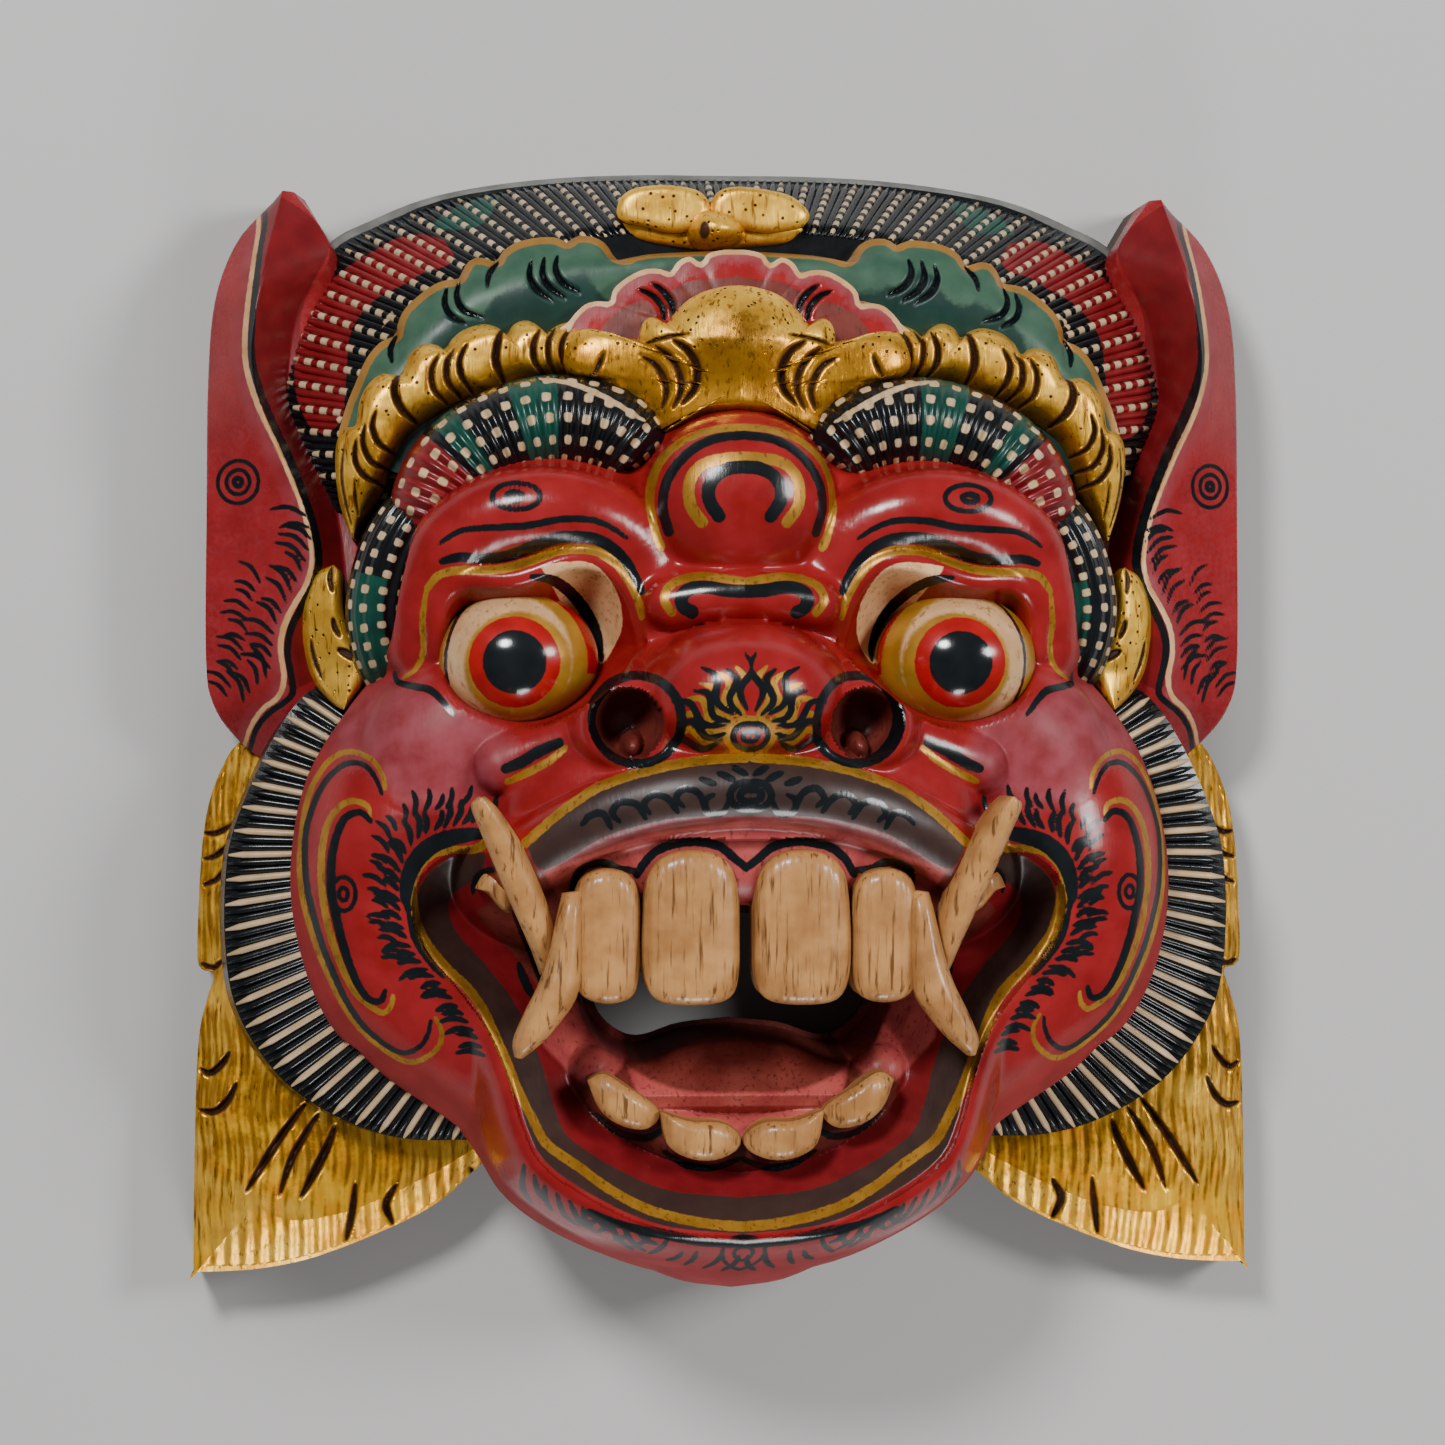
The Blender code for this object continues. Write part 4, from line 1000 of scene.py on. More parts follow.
# %% A node tree that lays ribs across a path
def rib_tree():
    """Geometry nodes: a guide path with the attribute across becomes a row of tapered ribs."""
    tree = bpy.data.node_groups.new("carved_ribs", "GeometryNodeTree")
    for name, kind in (("Guide", "Geometry"), ("Count", "Int"), ("Width", "Float"), ("Height", "Float"),
                       ("Paint", "Material")):
        tree.interface.new_socket(name, in_out="INPUT", socket_type="NodeSocket" + kind)
    tree.interface.new_socket("Ribs", in_out="OUTPUT", socket_type="NodeSocketGeometry")
    wire = Wire(tree)
    given = {socket.name: Wire(tree, socket) for socket in tree.nodes.new("NodeGroupInput").outputs}
    path = wire.node("GeometryNodeMeshToCurve", None, {"Mesh": given["Guide"]})
    path = wire.node("GeometryNodeResampleCurve", None, {"Curve": path, "Count": given["Count"]})
    across = wire.node("GeometryNodeInputNamedAttribute", {"data_type": "FLOAT_VECTOR"},
                       {"Name": "across"})
    reach = wire.node("ShaderNodeVectorMath", {"operation": "LENGTH"}, {0: across}, 1)
    turn = wire.node("FunctionNodeAxesToRotation", {"primary_axis": "Z", "secondary_axis": "Y"},
                     {"Primary Axis": across, "Secondary Axis": (0, 0, 1)})
    rib = wire.node("GeometryNodeMeshCylinder", None,
                    {"Vertices": 8, "Side Segments": 6, "Radius": 1.0, "Depth": 1.0})
    spot = wire.node("GeometryNodeInputPosition")
    share = wire.node("ShaderNodeSeparateXYZ", None, {0: spot}, 2)
    taper = wire.math("SUBTRACT", 1.0, (share * 2) ** 6 * 0.7)
    taper = wire.node("ShaderNodeCombineXYZ", None, {0: taper, 1: taper, 2: 1.0})
    tapered = wire.node("ShaderNodeVectorMath", {"operation": "MULTIPLY"}, {0: spot, 1: taper})
    rib = wire.node("GeometryNodeSetPosition", None, {"Geometry": rib, "Position": tapered})
    rib = wire.node("GeometryNodeStoreNamedAttribute", {"data_type": "FLOAT", "domain": "POINT"},
                    {"Geometry": rib, "Name": "share", "Value": share + 0.5})
    size = {0: given["Width"] * 0.5, 1: given["Height"], 2: reach}
    size = wire.node("ShaderNodeCombineXYZ", None, size)
    rows = wire.node("GeometryNodeInstanceOnPoints", None,
                     {"Points": path, "Instance": rib, "Rotation": turn, "Scale": size})
    for name, value in (("row", wire.node("GeometryNodeInputIndex")), ("reach", reach)):
        settings = {"data_type": "FLOAT", "domain": "INSTANCE"}
        rows = wire.node("GeometryNodeStoreNamedAttribute", settings,
                         {"Geometry": rows, "Name": name, "Value": value})
    rows = wire.node("GeometryNodeRealizeInstances", None, {"Geometry": rows})
    rows = wire.node("GeometryNodeSetMaterial", None, {"Geometry": rows, "Material": given["Paint"]})
    tree.links.new(rows.socket, tree.nodes.new("NodeGroupOutput").inputs[0])
    return tree


RIBS = rib_tree()
print("the tree that lays ribs has", len(RIBS.nodes), "nodes")


# %% Lay ribs from one path to another
def read_values(mesh, name):
    """A named value of each point of a mesh."""
    values = np.empty(len(mesh.vertices), np.float32)
    mesh.attributes[name].data.foreach_get("value", values)
    return values.astype(float)


def lay_ribs(name, outer, inner, count, width, height, finish, coats):
    """A row of ribs from one guide path to another; coats(x, y, row, share, reach) paints them."""
    scale = np.array([UNIT, UNIT, DEPTH_UNIT])
    near, far = smooth_path(outer, 160) * scale, smooth_path(inner, 160) * scale
    guide = bpy.data.meshes.new(name)
    guide.from_pydata(((near + far) / 2).tolist(), [(i, i + 1) for i in range(len(near) - 1)], [])
    across = guide.attributes.new("across", "FLOAT_VECTOR", "POINT")
    across.data.foreach_set("vector", (far - near).ravel())
    piece = link(name, guide)
    modifier = piece.modifiers.new("ribs", "NODES")
    modifier.node_group = RIBS
    sizes = {"Count": count, "Width": width * UNIT, "Height": height * DEPTH_UNIT,
             "Paint": finish.material}
    for item in RIBS.interface.items_tree:
        if item.name in sizes:
            modifier[item.identifier] = sizes[item.name]
    mesh = bpy.data.meshes.new_from_object(piece.evaluated_get(bpy.context.evaluated_depsgraph_get()))
    piece.modifiers.clear()
    piece.data = mesh
    bpy.data.meshes.remove(guide)
    mesh.shade_smooth()
    spots = np.empty(3 * len(mesh.vertices), np.float32)
    mesh.vertices.foreach_get("co", spots)
    x, y = spots.reshape(-1, 3)[:, :2].T / UNIT
    reach = read_values(mesh, "reach") / UNIT
    for key, field in coats(x, y, read_values(mesh, "row"), read_values(mesh, "share"), reach).items():
        keep_values(mesh, key, field)
    finish.dress(piece)
    pieces.append(piece)
    print(name, count, "ribs,", len(mesh.polygons), "faces")


# %% [markdown]
# ## The board behind everything
# A flat board with the outline of the whole mask carries the rest. On the real mask it is the same
# wood; only its brown edge shows. It stops at the rim of the hollow, so the back stays open.

# %% Board
BOARD_SIDE = [(0, -144), (30, -136), (56, -116), (78, -122), (93, -130), (110, -137), (135, -141),
              (136, -90), (134, -70), (135, -30), (126, -8), (132, 20), (132, 90), (126, 112),
              (116, 118), (104, 126), (80, 140), (44, 146), (0, 147)]
BOARD_LOOP = smooth_path(both_sides(BOARD_SIDE), 160)
hollow_rim = HOLLOW_CENTRE + (HOLLOW_LOOP - HOLLOW_CENTRE) * 1.01
place = collar(hollow_rim, BOARD_LOOP, HOLLOW_CENTRE, lambda x, y: x * 0 + BOARD)
black_hair.dress(shell("back_board", place, 160, 6, 1, 0))

# %% [markdown]
# ## Ears
# Each ear is a tall blade with a folded ridge. A cream line and a black one follow the ridge,
# with rings and short hairs outside it. Four guide curves give the fold.

# %% Ears
EAR = [
    [(121, 139.5, 24), (130.6, 128, 27), (136.2, 112, 30), (138, 90, 31), (138.4, 54, 31),
     (138.6, 16.7, 30), (136.7, 4.6, 28), (131, -4, 26), (122, -12, 24)],
    [(118.6, 142, 26), (122.3, 121, 41), (124.9, 106, 45), (125.5, 93, 46), (121.9, 78.5, 47),
     (115.7, 65, 47), (110.6, 51, 47), (110, 37.5, 47), (115.7, 27, 46), (118, 13.7, 43),
     (115, -8, 34)],
    [(115.8, 142, 24), (109.7, 134, 27), (106, 127, 28), (107.6, 120, 28), (114, 111, 28),
     (116.8, 97, 28), (117.1, 86.7, 28), (113, 76, 29), (105.6, 61, 32), (102.3, 43.6, 36),
     (102, 30, 38), (106, 12, 38), (106, -8, 34)],
    [(113, 140.4, 20), (108, 132, 20), (104, 124, 20), (104, 110, 20), (106, 90, 22), (100, 70, 26),
     (86, 50, 34), (82, 30, 38), (86, 10, 38), (92, -8, 34)],
]
EAR_FOLD = [(258, 205), (259, 228), (257, 250), (253, 290), (249, 330), (249, 360), (254, 385),
            (265, 415), (280, 445), (293, 475), (303, 500), (312, 530), (316, 560), (310, 585),
            (298, 605), (287, 628), (284, 650), (287, 678), (280, 697), (265, 708), (252, 725),
            (244, 745)]
EAR_INSIDE = [(263, 196), (266, 220), (263, 250), (259, 295), (256, 335), (256, 362), (262, 388),
              (273, 418), (287, 448), (300, 478), (309, 502), (318, 532), (322, 560), (317, 585),
              (305, 608), (294, 632), (291, 655), (296, 690), (287, 702), (272, 712), (258, 728),
              (250, 750)]
EAR_HAIRS = [(308, 508), (314, 540), (306, 572), (292, 600), (280, 625), (276, 650), (272, 675),
             (255, 690), (240, 712)]
EAR_HAIRS_FAR = [(268, 575), (256, 600), (250, 630), (244, 660), (232, 690), (224, 705)]
EAR_HOLLOW = EAR_INSIDE[:18] + [(345, 640), (350, 480), (300, 330), (330, 240), (275, 190)]
EAR_RING = (241, 483)
EAR_BLACK = [(2.0, 0.6, EAR_INSIDE), (1.1, 1, circle(EAR_RING, 21)), (1.1, 1, circle(EAR_RING, 12)),
             (1.4, 1, circle(EAR_RING, 4))]
EAR_BLACK += flicks(EAR_HAIRS, 19, 32, 112, 1.3, 0.3) + flicks(EAR_HAIRS_FAR, 13, 27, 105, 1.2, 0.3)


def ear_coats(x, y, *rest):
    """A pink fold, faint pink patches elsewhere outside the hollow, the scarlet hollow, the cream line
    and the black strokes.
    """
    fold = paint(x, y, [(9.0, 0.5, EAR_FOLD)], 44)
    inside = area(x, y, EAR_HOLLOW, 40)
    return {"cream": paint(x, y, [(1.7, 0.6, EAR_FOLD)], 45), "ink": paint(x, y, EAR_BLACK, 42),
            "rose": np.maximum(fold - 1, -1.5 - 3 * (inside > 0)), "scarlet": inside}


for side, word in SIDES:
    red_lacquer.dress(shell("ear_" + word, sheet(EAR, side), 60, 20, 5, fields=ear_coats))

# %% [markdown]
# ## The fan of hair
# A fan of carved strands stands behind the crown. The strands are ribs from the node tree over a
# black sheet. Every third one carries a row of cream dots, and patches of red and green cross
# them, painted over strands and sheet alike.

# %% Fan of hair
HAIR_FAN = [
    [(104, 56, 34), (112, 66, 31), (117, 76, 28), (121, 86, 26), (121, 99, 23), (116, 114, 20),
     (107, 129, 16), (95, 136, 14.5), (80.5, 142, 14), (64, 145.6, 14), (43.7, 148, 14),
     (21.8, 149, 14), (0, 149, 14)],
    [(86, 56, 46), (87, 68, 46), (88, 79, 46), (85.5, 89, 46), (79.5, 101, 46), (71, 112, 46),
     (60, 120, 46), (45, 125, 46), (28, 128.5, 46), (0, 129.5, 46)],
    [(70, 50, 44), (72, 62, 44), (72, 76, 44), (66, 88, 44), (56, 98, 44), (40, 106, 44), (20, 110, 44),
     (0, 111, 44)],
]
RED_PATCH = [(298, 345), (305, 325), (325, 290), (345, 272), (360, 262), (380, 250), (402, 238),
             (432, 238), (452, 252), (452, 272), (425, 280), (405, 292), (382, 302), (362, 322),
             (352, 345), (350, 380), (345, 425), (322, 440), (300, 400)]
GREEN_PATCH = [(382, 262), (392, 250), (470, 205), (500, 200), (480, 235), (440, 236), (405, 235)]
FAN_LINE = [(338, 430), (348, 398), (358, 368), (374, 336), (402, 308)]
FAN_FOLD = [(442, 198), (462, 222), (482, 258)]


def fan_coats(x, y, *rest):
    """Patches of colour, one cream line, and a grey rim along the top, partly grey paint and partly a
    painted sheen of light grazing the black.
    """
    edge_gap, _ = path_distance(np.abs(x), y, smooth_path(HAIR_FAN[0], 60))
    return {"red": area(x, y, RED_PATCH, 28), "green": area(x, y, GREEN_PATCH, 20),
            "cream": paint(x, y, [(1.8, 0.5, FAN_LINE)], 42),
            # The grey rim: partly paint, partly a painted sheen of grazing light.
            "grey": np.where(y > 112, 2.4 - edge_gap, -FAR)}


def fan_rib_coats(x, y, row, share, reach):
    """The same without the rim, and dots on every third strand."""
    coats = fan_coats(x, y)
    coats.pop("grey")
    return coats | {"beads": np.where(row % 3 == 0, share * reach + np.sin(row) - 1, -FAR)}


RIB_LIFT, FAN_RIBS = 0.5, 165
FAN_ROOT = np.array(both_sides(HAIR_FAN[1])) + (0, 0, RIB_LIFT)
FAN_EDGE = smooth_path(both_sides(HAIR_FAN[0]), 120)
FAN_EDGE = FAN_EDGE + 0.09 * (smooth_path(FAN_ROOT, 120) - FAN_EDGE)
place = sheet([both_sides(guide) for guide in HAIR_FAN], 1,
              lambda x, y, *rest: carve(x, y, [(2.4, 0.3, FAN_FOLD)], 24, 3))
black_hair.dress(shell("hair_fan", place, 120, 12, 5, fields=fan_coats))
lay_ribs("fan_ribs", FAN_EDGE, FAN_ROOT, FAN_RIBS, 2.3, 1.2, black_hair, fan_rib_coats)

# %% [markdown]
# ## Green leaves and the red fan
# In front of the hair lies a band of scalloped green leaves, and over its middle a red fan. Their
# edges are traced from the picture, cusp by cusp, and small crescent cuts part one leaf from the
# next. The band is a sheet, because it follows the brow; the fan is a mound inside its outline.

# %% Green leaves
LEAF_TOP = 56
LEAF_EDGE = [(340, 438), (348, 410), (358, 385), (368, 362), (382, 345), (397, 338), (399, 328),
             (406, 312), (424, 295), (442, 284), (460, 281), (464, 272), (472, 262), (484, 260),
             (497, 264), (503, 254), (516, 245), (535, 240), (555, 239), (568, 244), (576, 238),
             (592, 238), (606, 245), (620, 262), (650, 255), (742, 250)]
LEAF_BAND = [
    traced(LEAF_EDGE, 50),
    [(91, 66, 55), (91, 76, 56), (90, 84, 57), (85, 92.5, 57), (77, 101, 58), (65.5, 109.5, 58),
     (52, 114, 58), (37, 117, 58), (20, 119, 58), (0, 119, 58)],
    [(74, 62, 55), (74, 76, 55), (66, 88, 55), (52, 94, 55), (36, 96, 55), (18, 97, 55), (0, 97, 55)],
]
LEAF_CUTS = [(1.8, 0.2, [(448, 288), (446, 305), (452, 318), (466, 326)]),
             (1.8, 0.2, [(460, 283), (458, 300), (466, 314), (484, 320)]),
             (1.8, 0.2, [(532, 262), (530, 278), (537, 292), (552, 302)]),
             (1.8, 0.2, [(545, 258), (543, 276), (550, 290), (566, 300)]),
             (1.8, 0.2, [(558, 256), (556, 272), (564, 286), (580, 294)]),
             (1.6, 0.3, [(398, 336), (392, 350), (394, 365)]),
             (1.6, 0.3, [(499, 262), (490, 275), (488, 290)])]


def leaf_coats(x, y, *rest):
    """Light green near the scalloped edge, which is gold."""
    gap, _ = path_distance(-np.abs(x), y, smooth_path(from_photo(LEAF_EDGE, 50), 120))
    return {"light": 10.5 - gap + 1.5 * np.sin(x * 0.35), "gold": 2.0 - gap,
            "ink": paint(x, y, LEAF_CUTS, LEAF_TOP)}


place = sheet([both_sides(guide) for guide in LEAF_BAND], 1,
              lambda x, y, *rest: carve(x, y, LEAF_CUTS, LEAF_TOP, 2.0), 1.0)
green_leaves.dress(shell("leaf_band", place, 140, 10, 5, fields=leaf_coats))

# %% Red fan
RED_EDGE = [(560, 345), (570, 322), (585, 306), (600, 302), (610, 303), (614, 290), (628, 278),
            (645, 270), (662, 270), (670, 273), (678, 262), (690, 257), (701, 263), (708, 254),
            (724, 250), (744, 250)]
RED_CUTS = [(1.8, 0.2, [(639, 290), (652, 296), (662, 308), (664, 322)]),
            (1.8, 0.2, [(652, 284), (662, 291), (671, 303), (674, 316)])]
# Patches of painted shade where the red fan meets the crown.
RED_HOLLOW = [(600, 332), (615, 315), (632, 305), (648, 302), (656, 314), (655, 335), (640, 350),
              (610, 350)]
RED_ARCH = [(665, 295), (690, 282), (720, 279), (748, 278), (748, 300), (700, 300), (672, 320)]
RED_NOTCH = [(733, 280), (738, 270), (750, 266), (750, 282)]
RED_TOP = 62


def red_fan_coats(x, y, *rest):
    """A pink rim inside a cream line, and dark patches by the crown, painted shade of hollows that the
    mesh does not carve.
    """
    gap, _ = path_distance(-np.abs(x), y, smooth_path(from_photo(RED_EDGE, RED_TOP), 90))
    dark = np.maximum(area(x, y, RED_HOLLOW, RED_TOP), area(x, y, RED_ARCH, RED_TOP))
    return {"rose": (3.0 - gap) * 1.5, "cream": 1.3 - gap, "ink": paint(x, y, RED_CUTS, RED_TOP),
            "mouth": np.maximum(dark, area(x, y, RED_NOTCH, RED_TOP, False))}


def red_fan_height(x, y, share):
    return RED_TOP + 2 - 2.2 * share**2 + carve(x, y, RED_CUTS, RED_TOP, 1.8)


red_half = [tuple(point[:2]) for point in traced(RED_EDGE, RED_TOP)]
red_half = smooth_path([(0, 80), (24, 80)] + red_half[:-1] + [(0, red_half[-1][1])], 100)
place = mound(mirrored_loop(red_half), (0, 98), red_fan_height)
red_lacquer.dress(shell("red_fan", place, 24, 24, 5, fields=red_fan_coats))

# %% [markdown]
# ## The gilded crown and curls
# Gold leaf is laid over red clay and rubbed, so the wood and the clay show in the cuts and pits. The
# crescent cuts are traced from the picture; each is both a groove in the mesh and a dark
# line of the finish, which is partly that clay and partly painted shade in the cut.

# %% Crown
CROWN_EDGE = [(742, 284), (724, 285), (702, 291), (686, 301), (674, 314), (668, 322), (655, 315),
              (645, 320), (641, 332), (640, 345), (622, 335), (598, 328), (580, 330), (568, 345),
              (565, 362), (574, 374), (592, 378), (612, 390), (632, 404), (645, 418), (652, 432),
              (664, 432), (680, 420), (705, 413), (742, 411)]
CROWN_CUTS = [(1.9, 0.2, [(641, 356), (655, 364), (664, 378), (667, 392), (662, 409)]),
              (1.9, 0.2, [(656, 346), (671, 358), (680, 374), (681, 392), (673, 408)]),
              (2.3, 0.2, [(673, 340), (688, 351), (697, 368), (695, 388), (682, 404)]),
              (1.4, 0.3, [(604, 353), (601, 362), (594, 376)]),
              (1.2, 0.2, [(655, 412), (654, 424), (658, 432)]),
              (1.2, 0.2, [(642, 345), (655, 340), (672, 336), (690, 334)])]
# The place on the crown that is painted with a dark reflection.
CROWN_DARK_REFLECTION = [(700, 332), (718, 318), (742, 308), (765, 308), (765, 350), (742, 350), (706, 346)]
CROWN_TOP, ARCH_PLACE = 75, 98


def crown_height(x, y, share):
    """An arched plate in the middle, with a flared wing on each side of it."""
    arch = CROWN_TOP + 4 - 0.10 * np.abs(y - ARCH_PLACE) ** 1.4 - 0.03 * np.abs(x) ** 1.8
    flare = CROWN_TOP + 1 - 0.10 * np.abs(x) + 0.004 * (np.abs(x) - 14) ** 2
    return smooth_max(flare, arch, 1.5) - 5 * share**8 + carve(x, y, CROWN_CUTS, CROWN_TOP, 2.6)


def crown_coats(x, y, *rest):
    """Pitted leaf above, deeper gold below, and a painted dark reflection under the arch, brown where
    the gold mirrors dark surroundings.
    """
    glaze = area(x, y, CROWN_DARK_REFLECTION, CROWN_TOP + 3)
    return {"groove": paint(x, y, CROWN_CUTS, CROWN_TOP), "glaze": glaze, "pits": y - ARCH_PLACE + 4,
            "deep": ARCH_PLACE - y}


crown_half = traced(CROWN_EDGE, CROWN_TOP)[:, :2]
crown_half[[0, -1], 0] = 0
place = mound(mirrored_loop(smooth_path(crown_half, 90)), (0, 86), crown_height)
gilding.dress(shell("crown", place, 30, 30, 6, fields=crown_coats))

# %% Curls
CURL_TOP = [(640, 345), (612, 333), (588, 323), (570, 320), (556, 325), (546, 333), (540, 325),
            (528, 319), (515, 323), (507, 334), (500, 327), (485, 323), (466, 328), (453, 338),
            (446, 349), (438, 344), (425, 343), (412, 352), (403, 372), (396, 374), (383, 373),
            (370, 383), (361, 400), (357, 424), (347, 427), (339, 437), (336, 457), (338, 490),
            (344, 515), (352, 536)]
CURL_FOOT = [(650, 425), (635, 408), (615, 396), (598, 385), (585, 377), (565, 377), (545, 378),
             (525, 378), (508, 384), (495, 391), (478, 395), (460, 400), (446, 409), (430, 419),
             (417, 428), (406, 438), (398, 452), (390, 470), (384, 488), (376, 503), (364, 520),
             (356, 537)]
CURL_CUTS = [(2.0, 0.2, [(541, 330), (534, 346), (536, 364), (548, 378)]),
             (1.7, 0.2, [(556, 327), (549, 343), (550, 362), (559, 377)]),
             (1.7, 0.2, [(574, 324), (564, 340), (562, 357), (569, 375)]),
             (2.4, 0.3, [(503, 330), (498, 346), (497, 364), (505, 384)]),
             (1.9, 0.2, [(468, 346), (461, 361), (463, 378), (474, 394)]),
             (1.9, 0.2, [(455, 350), (448, 366), (450, 385), (463, 399)]),
             (1.8, 0.2, [(440, 356), (433, 373), (436, 392), (449, 405)]),
             (2.4, 0.3, [(400, 374), (396, 392), (403, 410), (418, 424)]),
             (1.8, 0.2, [(378, 412), (374, 428), (381, 445), (397, 455)]),
             (1.8, 0.2, [(367, 425), (365, 445), (374, 463), (392, 470)]),
             (1.8, 0.2, [(358, 440), (357, 461), (367, 477), (386, 486)]),
             (1.0, 0.2, [(346, 445), (343, 475), (347, 502), (353, 525)]),
             (0.9, 0.2, [(356, 478), (357, 498), (360, 515)])]
CURL_HEIGHT = 66


def curl_relief(x, y, along, across):
    """A rounded roll that sinks at both ends, with its cuts."""
    bulge = np.abs(2 * across - 1) ** 4
    fall = np.interp(along, [0, 0.2, 0.75, 1], [6, 0, 2, 12])
    return -7 * bulge - fall + carve(x, y, CURL_CUTS, 65, 2.4)


def curl_coats(x, y, z, u, v):
    """Dark cuts, pits on the outer half and deeper gold on the inner one."""
    return {"groove": paint(x, y, CURL_CUTS, 65), "pits": 1 - 2 * (v > 0.3), "deep": 6 * v - 1.5}


CURLS = [traced(CURL_TOP, CURL_HEIGHT), traced(CURL_FOOT, CURL_HEIGHT)]
for side, word in SIDES:
    gilding.dress(shell("curls_" + word, sheet(CURLS, side, curl_relief), 60, 12, 6, fields=curl_coats))

# %% [markdown]
# ## Rolls of hair
# Two thick rolls of hair frame the brow. Each follows one curve and has a round section. The
# strands run across the upper roll and along the lower one, with rows of cream dots.

# %% Rolls of hair
UPPER_HAIR = [(22, 66, 76), (26, 70.5, 79), (34.5, 75.8, 80), (48.5, 77.3, 80), (63, 73, 79),
              (73.5, 64.5, 77), (79.5, 52, 74), (81, 46, 70)]
LOWER_HAIR = [(78, 58, 68), (84, 51, 70), (89, 41, 69), (91.5, 28, 66), (89, 15, 60), (85, 8, 52)]
HAIR_LINE = [(645, 422), (625, 410), (600, 396), (570, 384), (540, 379)]
UPPER_LENGTH, UPPER_GIRTH, UPPER_DOTS = 78, 15, (4.6, 1.0)
LOWER_LENGTH, LOWER_GIRTH, LOWER_DOTS = 55, 13, (4.3, 0.95)
BARE_RIM = 0.86


def dots(a, b, pitch, radius):
    """A field of dots with square shoulders in rows, from two distances in millimetres."""
    row = np.round(b / pitch)
    across = np.abs((a + 0.4 * pitch * np.sin(3 * row)) % pitch - pitch / 2)
    return radius - (across**4 + np.abs(b - row * pitch) ** 4) ** 0.25


def upper_coats(x, y, z, u, v):
    """Rows of dots, one cream line, a red end and two green bands across the roll."""
    along = (u + 1) / 2 * UPPER_LENGTH
    spots = np.where(np.abs(v) < BARE_RIM, dots(along, v * UPPER_GIRTH, *UPPER_DOTS), -FAR)
    return {"cream": np.maximum(spots, paint(x, y, [(1.5, 0.3, HAIR_LINE)], 76)),
            "red": np.minimum(along - 0.72 * UPPER_LENGTH, 0.97 * UPPER_LENGTH - along),
            "green": np.maximum(5 - np.abs(along - 0.42 * UPPER_LENGTH),
                                2.5 - np.abs(along - 0.66 * UPPER_LENGTH))}


def lower_coats(x, y, z, u, v):
    """Rows of dots, and green strands on the lower half."""
    along = (u + 1) / 2 * LOWER_LENGTH
    spots = np.where(np.abs(v) < BARE_RIM, dots(along, v * LOWER_GIRTH, *LOWER_DOTS), -FAR)
    strands = np.minimum(along - 0.45 * LOWER_LENGTH, 3.4 - np.abs(v + 0.3) * 10)
    return {"cream": spots, "green": strands}


def strands_across(x, y, along, v):
    return 0.45 * np.cos(along * UPPER_LENGTH * 2.2)


def strands_along(x, y, along, v):
    return 0.4 * np.cos(v * 26)


for side, word in SIDES:
    place = band(UPPER_HAIR, 12, 13, side, strands_across)
    black_hair.dress(shell("upper_hair_" + word, place, 60, 10, 6, fields=upper_coats))
    place = band(LOWER_HAIR, 9.5, 11, side, strands_along)
    black_hair.dress(shell("lower_hair_" + word, place, 40, 10, 6, fields=lower_coats))

# %% [markdown]
# ## Temple leaves
# A small gilded leaf lies on each temple, between the hair and the ear. Both of its edges are traced
# from the picture, and a sheet between them is bulged a little, as a leaf cut with a flat gouge is.

# %% Temple leaves
TEMPLE_OUTER = [(334, 566), (318, 573), (309, 588), (304, 606), (304, 628), (307, 652), (312, 672),
                (322, 690), (335, 704), (344, 709)]
TEMPLE_INNER = [(337, 566), (344, 574), (344, 592), (345, 610), (349, 628), (356, 645), (366, 660),
                (371, 672), (360, 690), (347, 709)]
TEMPLE_CUTS = [(1.6, 0.3, [(334, 568), (333, 580), (335, 592)]),
               (2.4, 0.5, [(342, 650), (352, 655), (362, 660)]),
               (1.4, 0.3, [(313, 640), (317, 660), (325, 680)]),
               (1.6, 0.6, [(336, 620), (338, 628), (342, 636)])]
temple_leaf = [traced(TEMPLE_OUTER, 47), traced(TEMPLE_INNER, 53)]


def temple_relief(x, y, along, across):
    """A bulge across the leaf, with its cuts."""
    return -4.5 * np.abs(2 * across - 1) ** 4 + carve(x, y, TEMPLE_CUTS, 50, 1.2)


def temple_coats(x, y, *rest):
    return {"groove": paint(x, y, TEMPLE_CUTS, 50), "pits": x * 0 + 1}


for side, word in SIDES:
    place = sheet(temple_leaf, side, temple_relief)
    gilding.dress(shell("temple_leaf_" + word, place, 24, 8, 6, fields=temple_coats))

# %% [markdown]
# ## The ruff
# The beard is a ruff of black ribs, and every third rib is painted cream. The ribs come from the
# same node tree as the fan, laid from the outer edge to the cheek. Rim and root have as many
# points, and each pair is one rib's direction, because the ribs lean a little more towards the
# chin the lower they stand.

# %% Ruff
RUFF_RIM = np.array([(106, 12, 37), (114, 5, 40), (120.5, -5, 41), (126.5, -18, 42), (130.8, -30, 42),
                     (132.3, -40, 42), (132.6, -55, 42), (130.7, -71, 42), (125, -84, 41.5),
                     (115, -96, 41), (100, -105.3, 40), (85, -109.8, 38.5), (69, -110.5, 36)])
RUFF_ROOT = np.array([(98, 5, 43), (105.5, -3, 44.5), (109.3, -10, 45), (112.5, -20, 45),
                      (114.3, -30, 45), (114.8, -38.7, 45), (115, -50, 45), (113.2, -62, 45),
                      (108.3, -74, 45), (100, -85, 44.5), (90, -94, 43), (78, -100, 41),
                      (66, -101, 38)])
RUFF_RIBS = 79
RUFF_ACROSS = (RUFF_ROOT - RUFF_RIM) * (1, 1, 0)
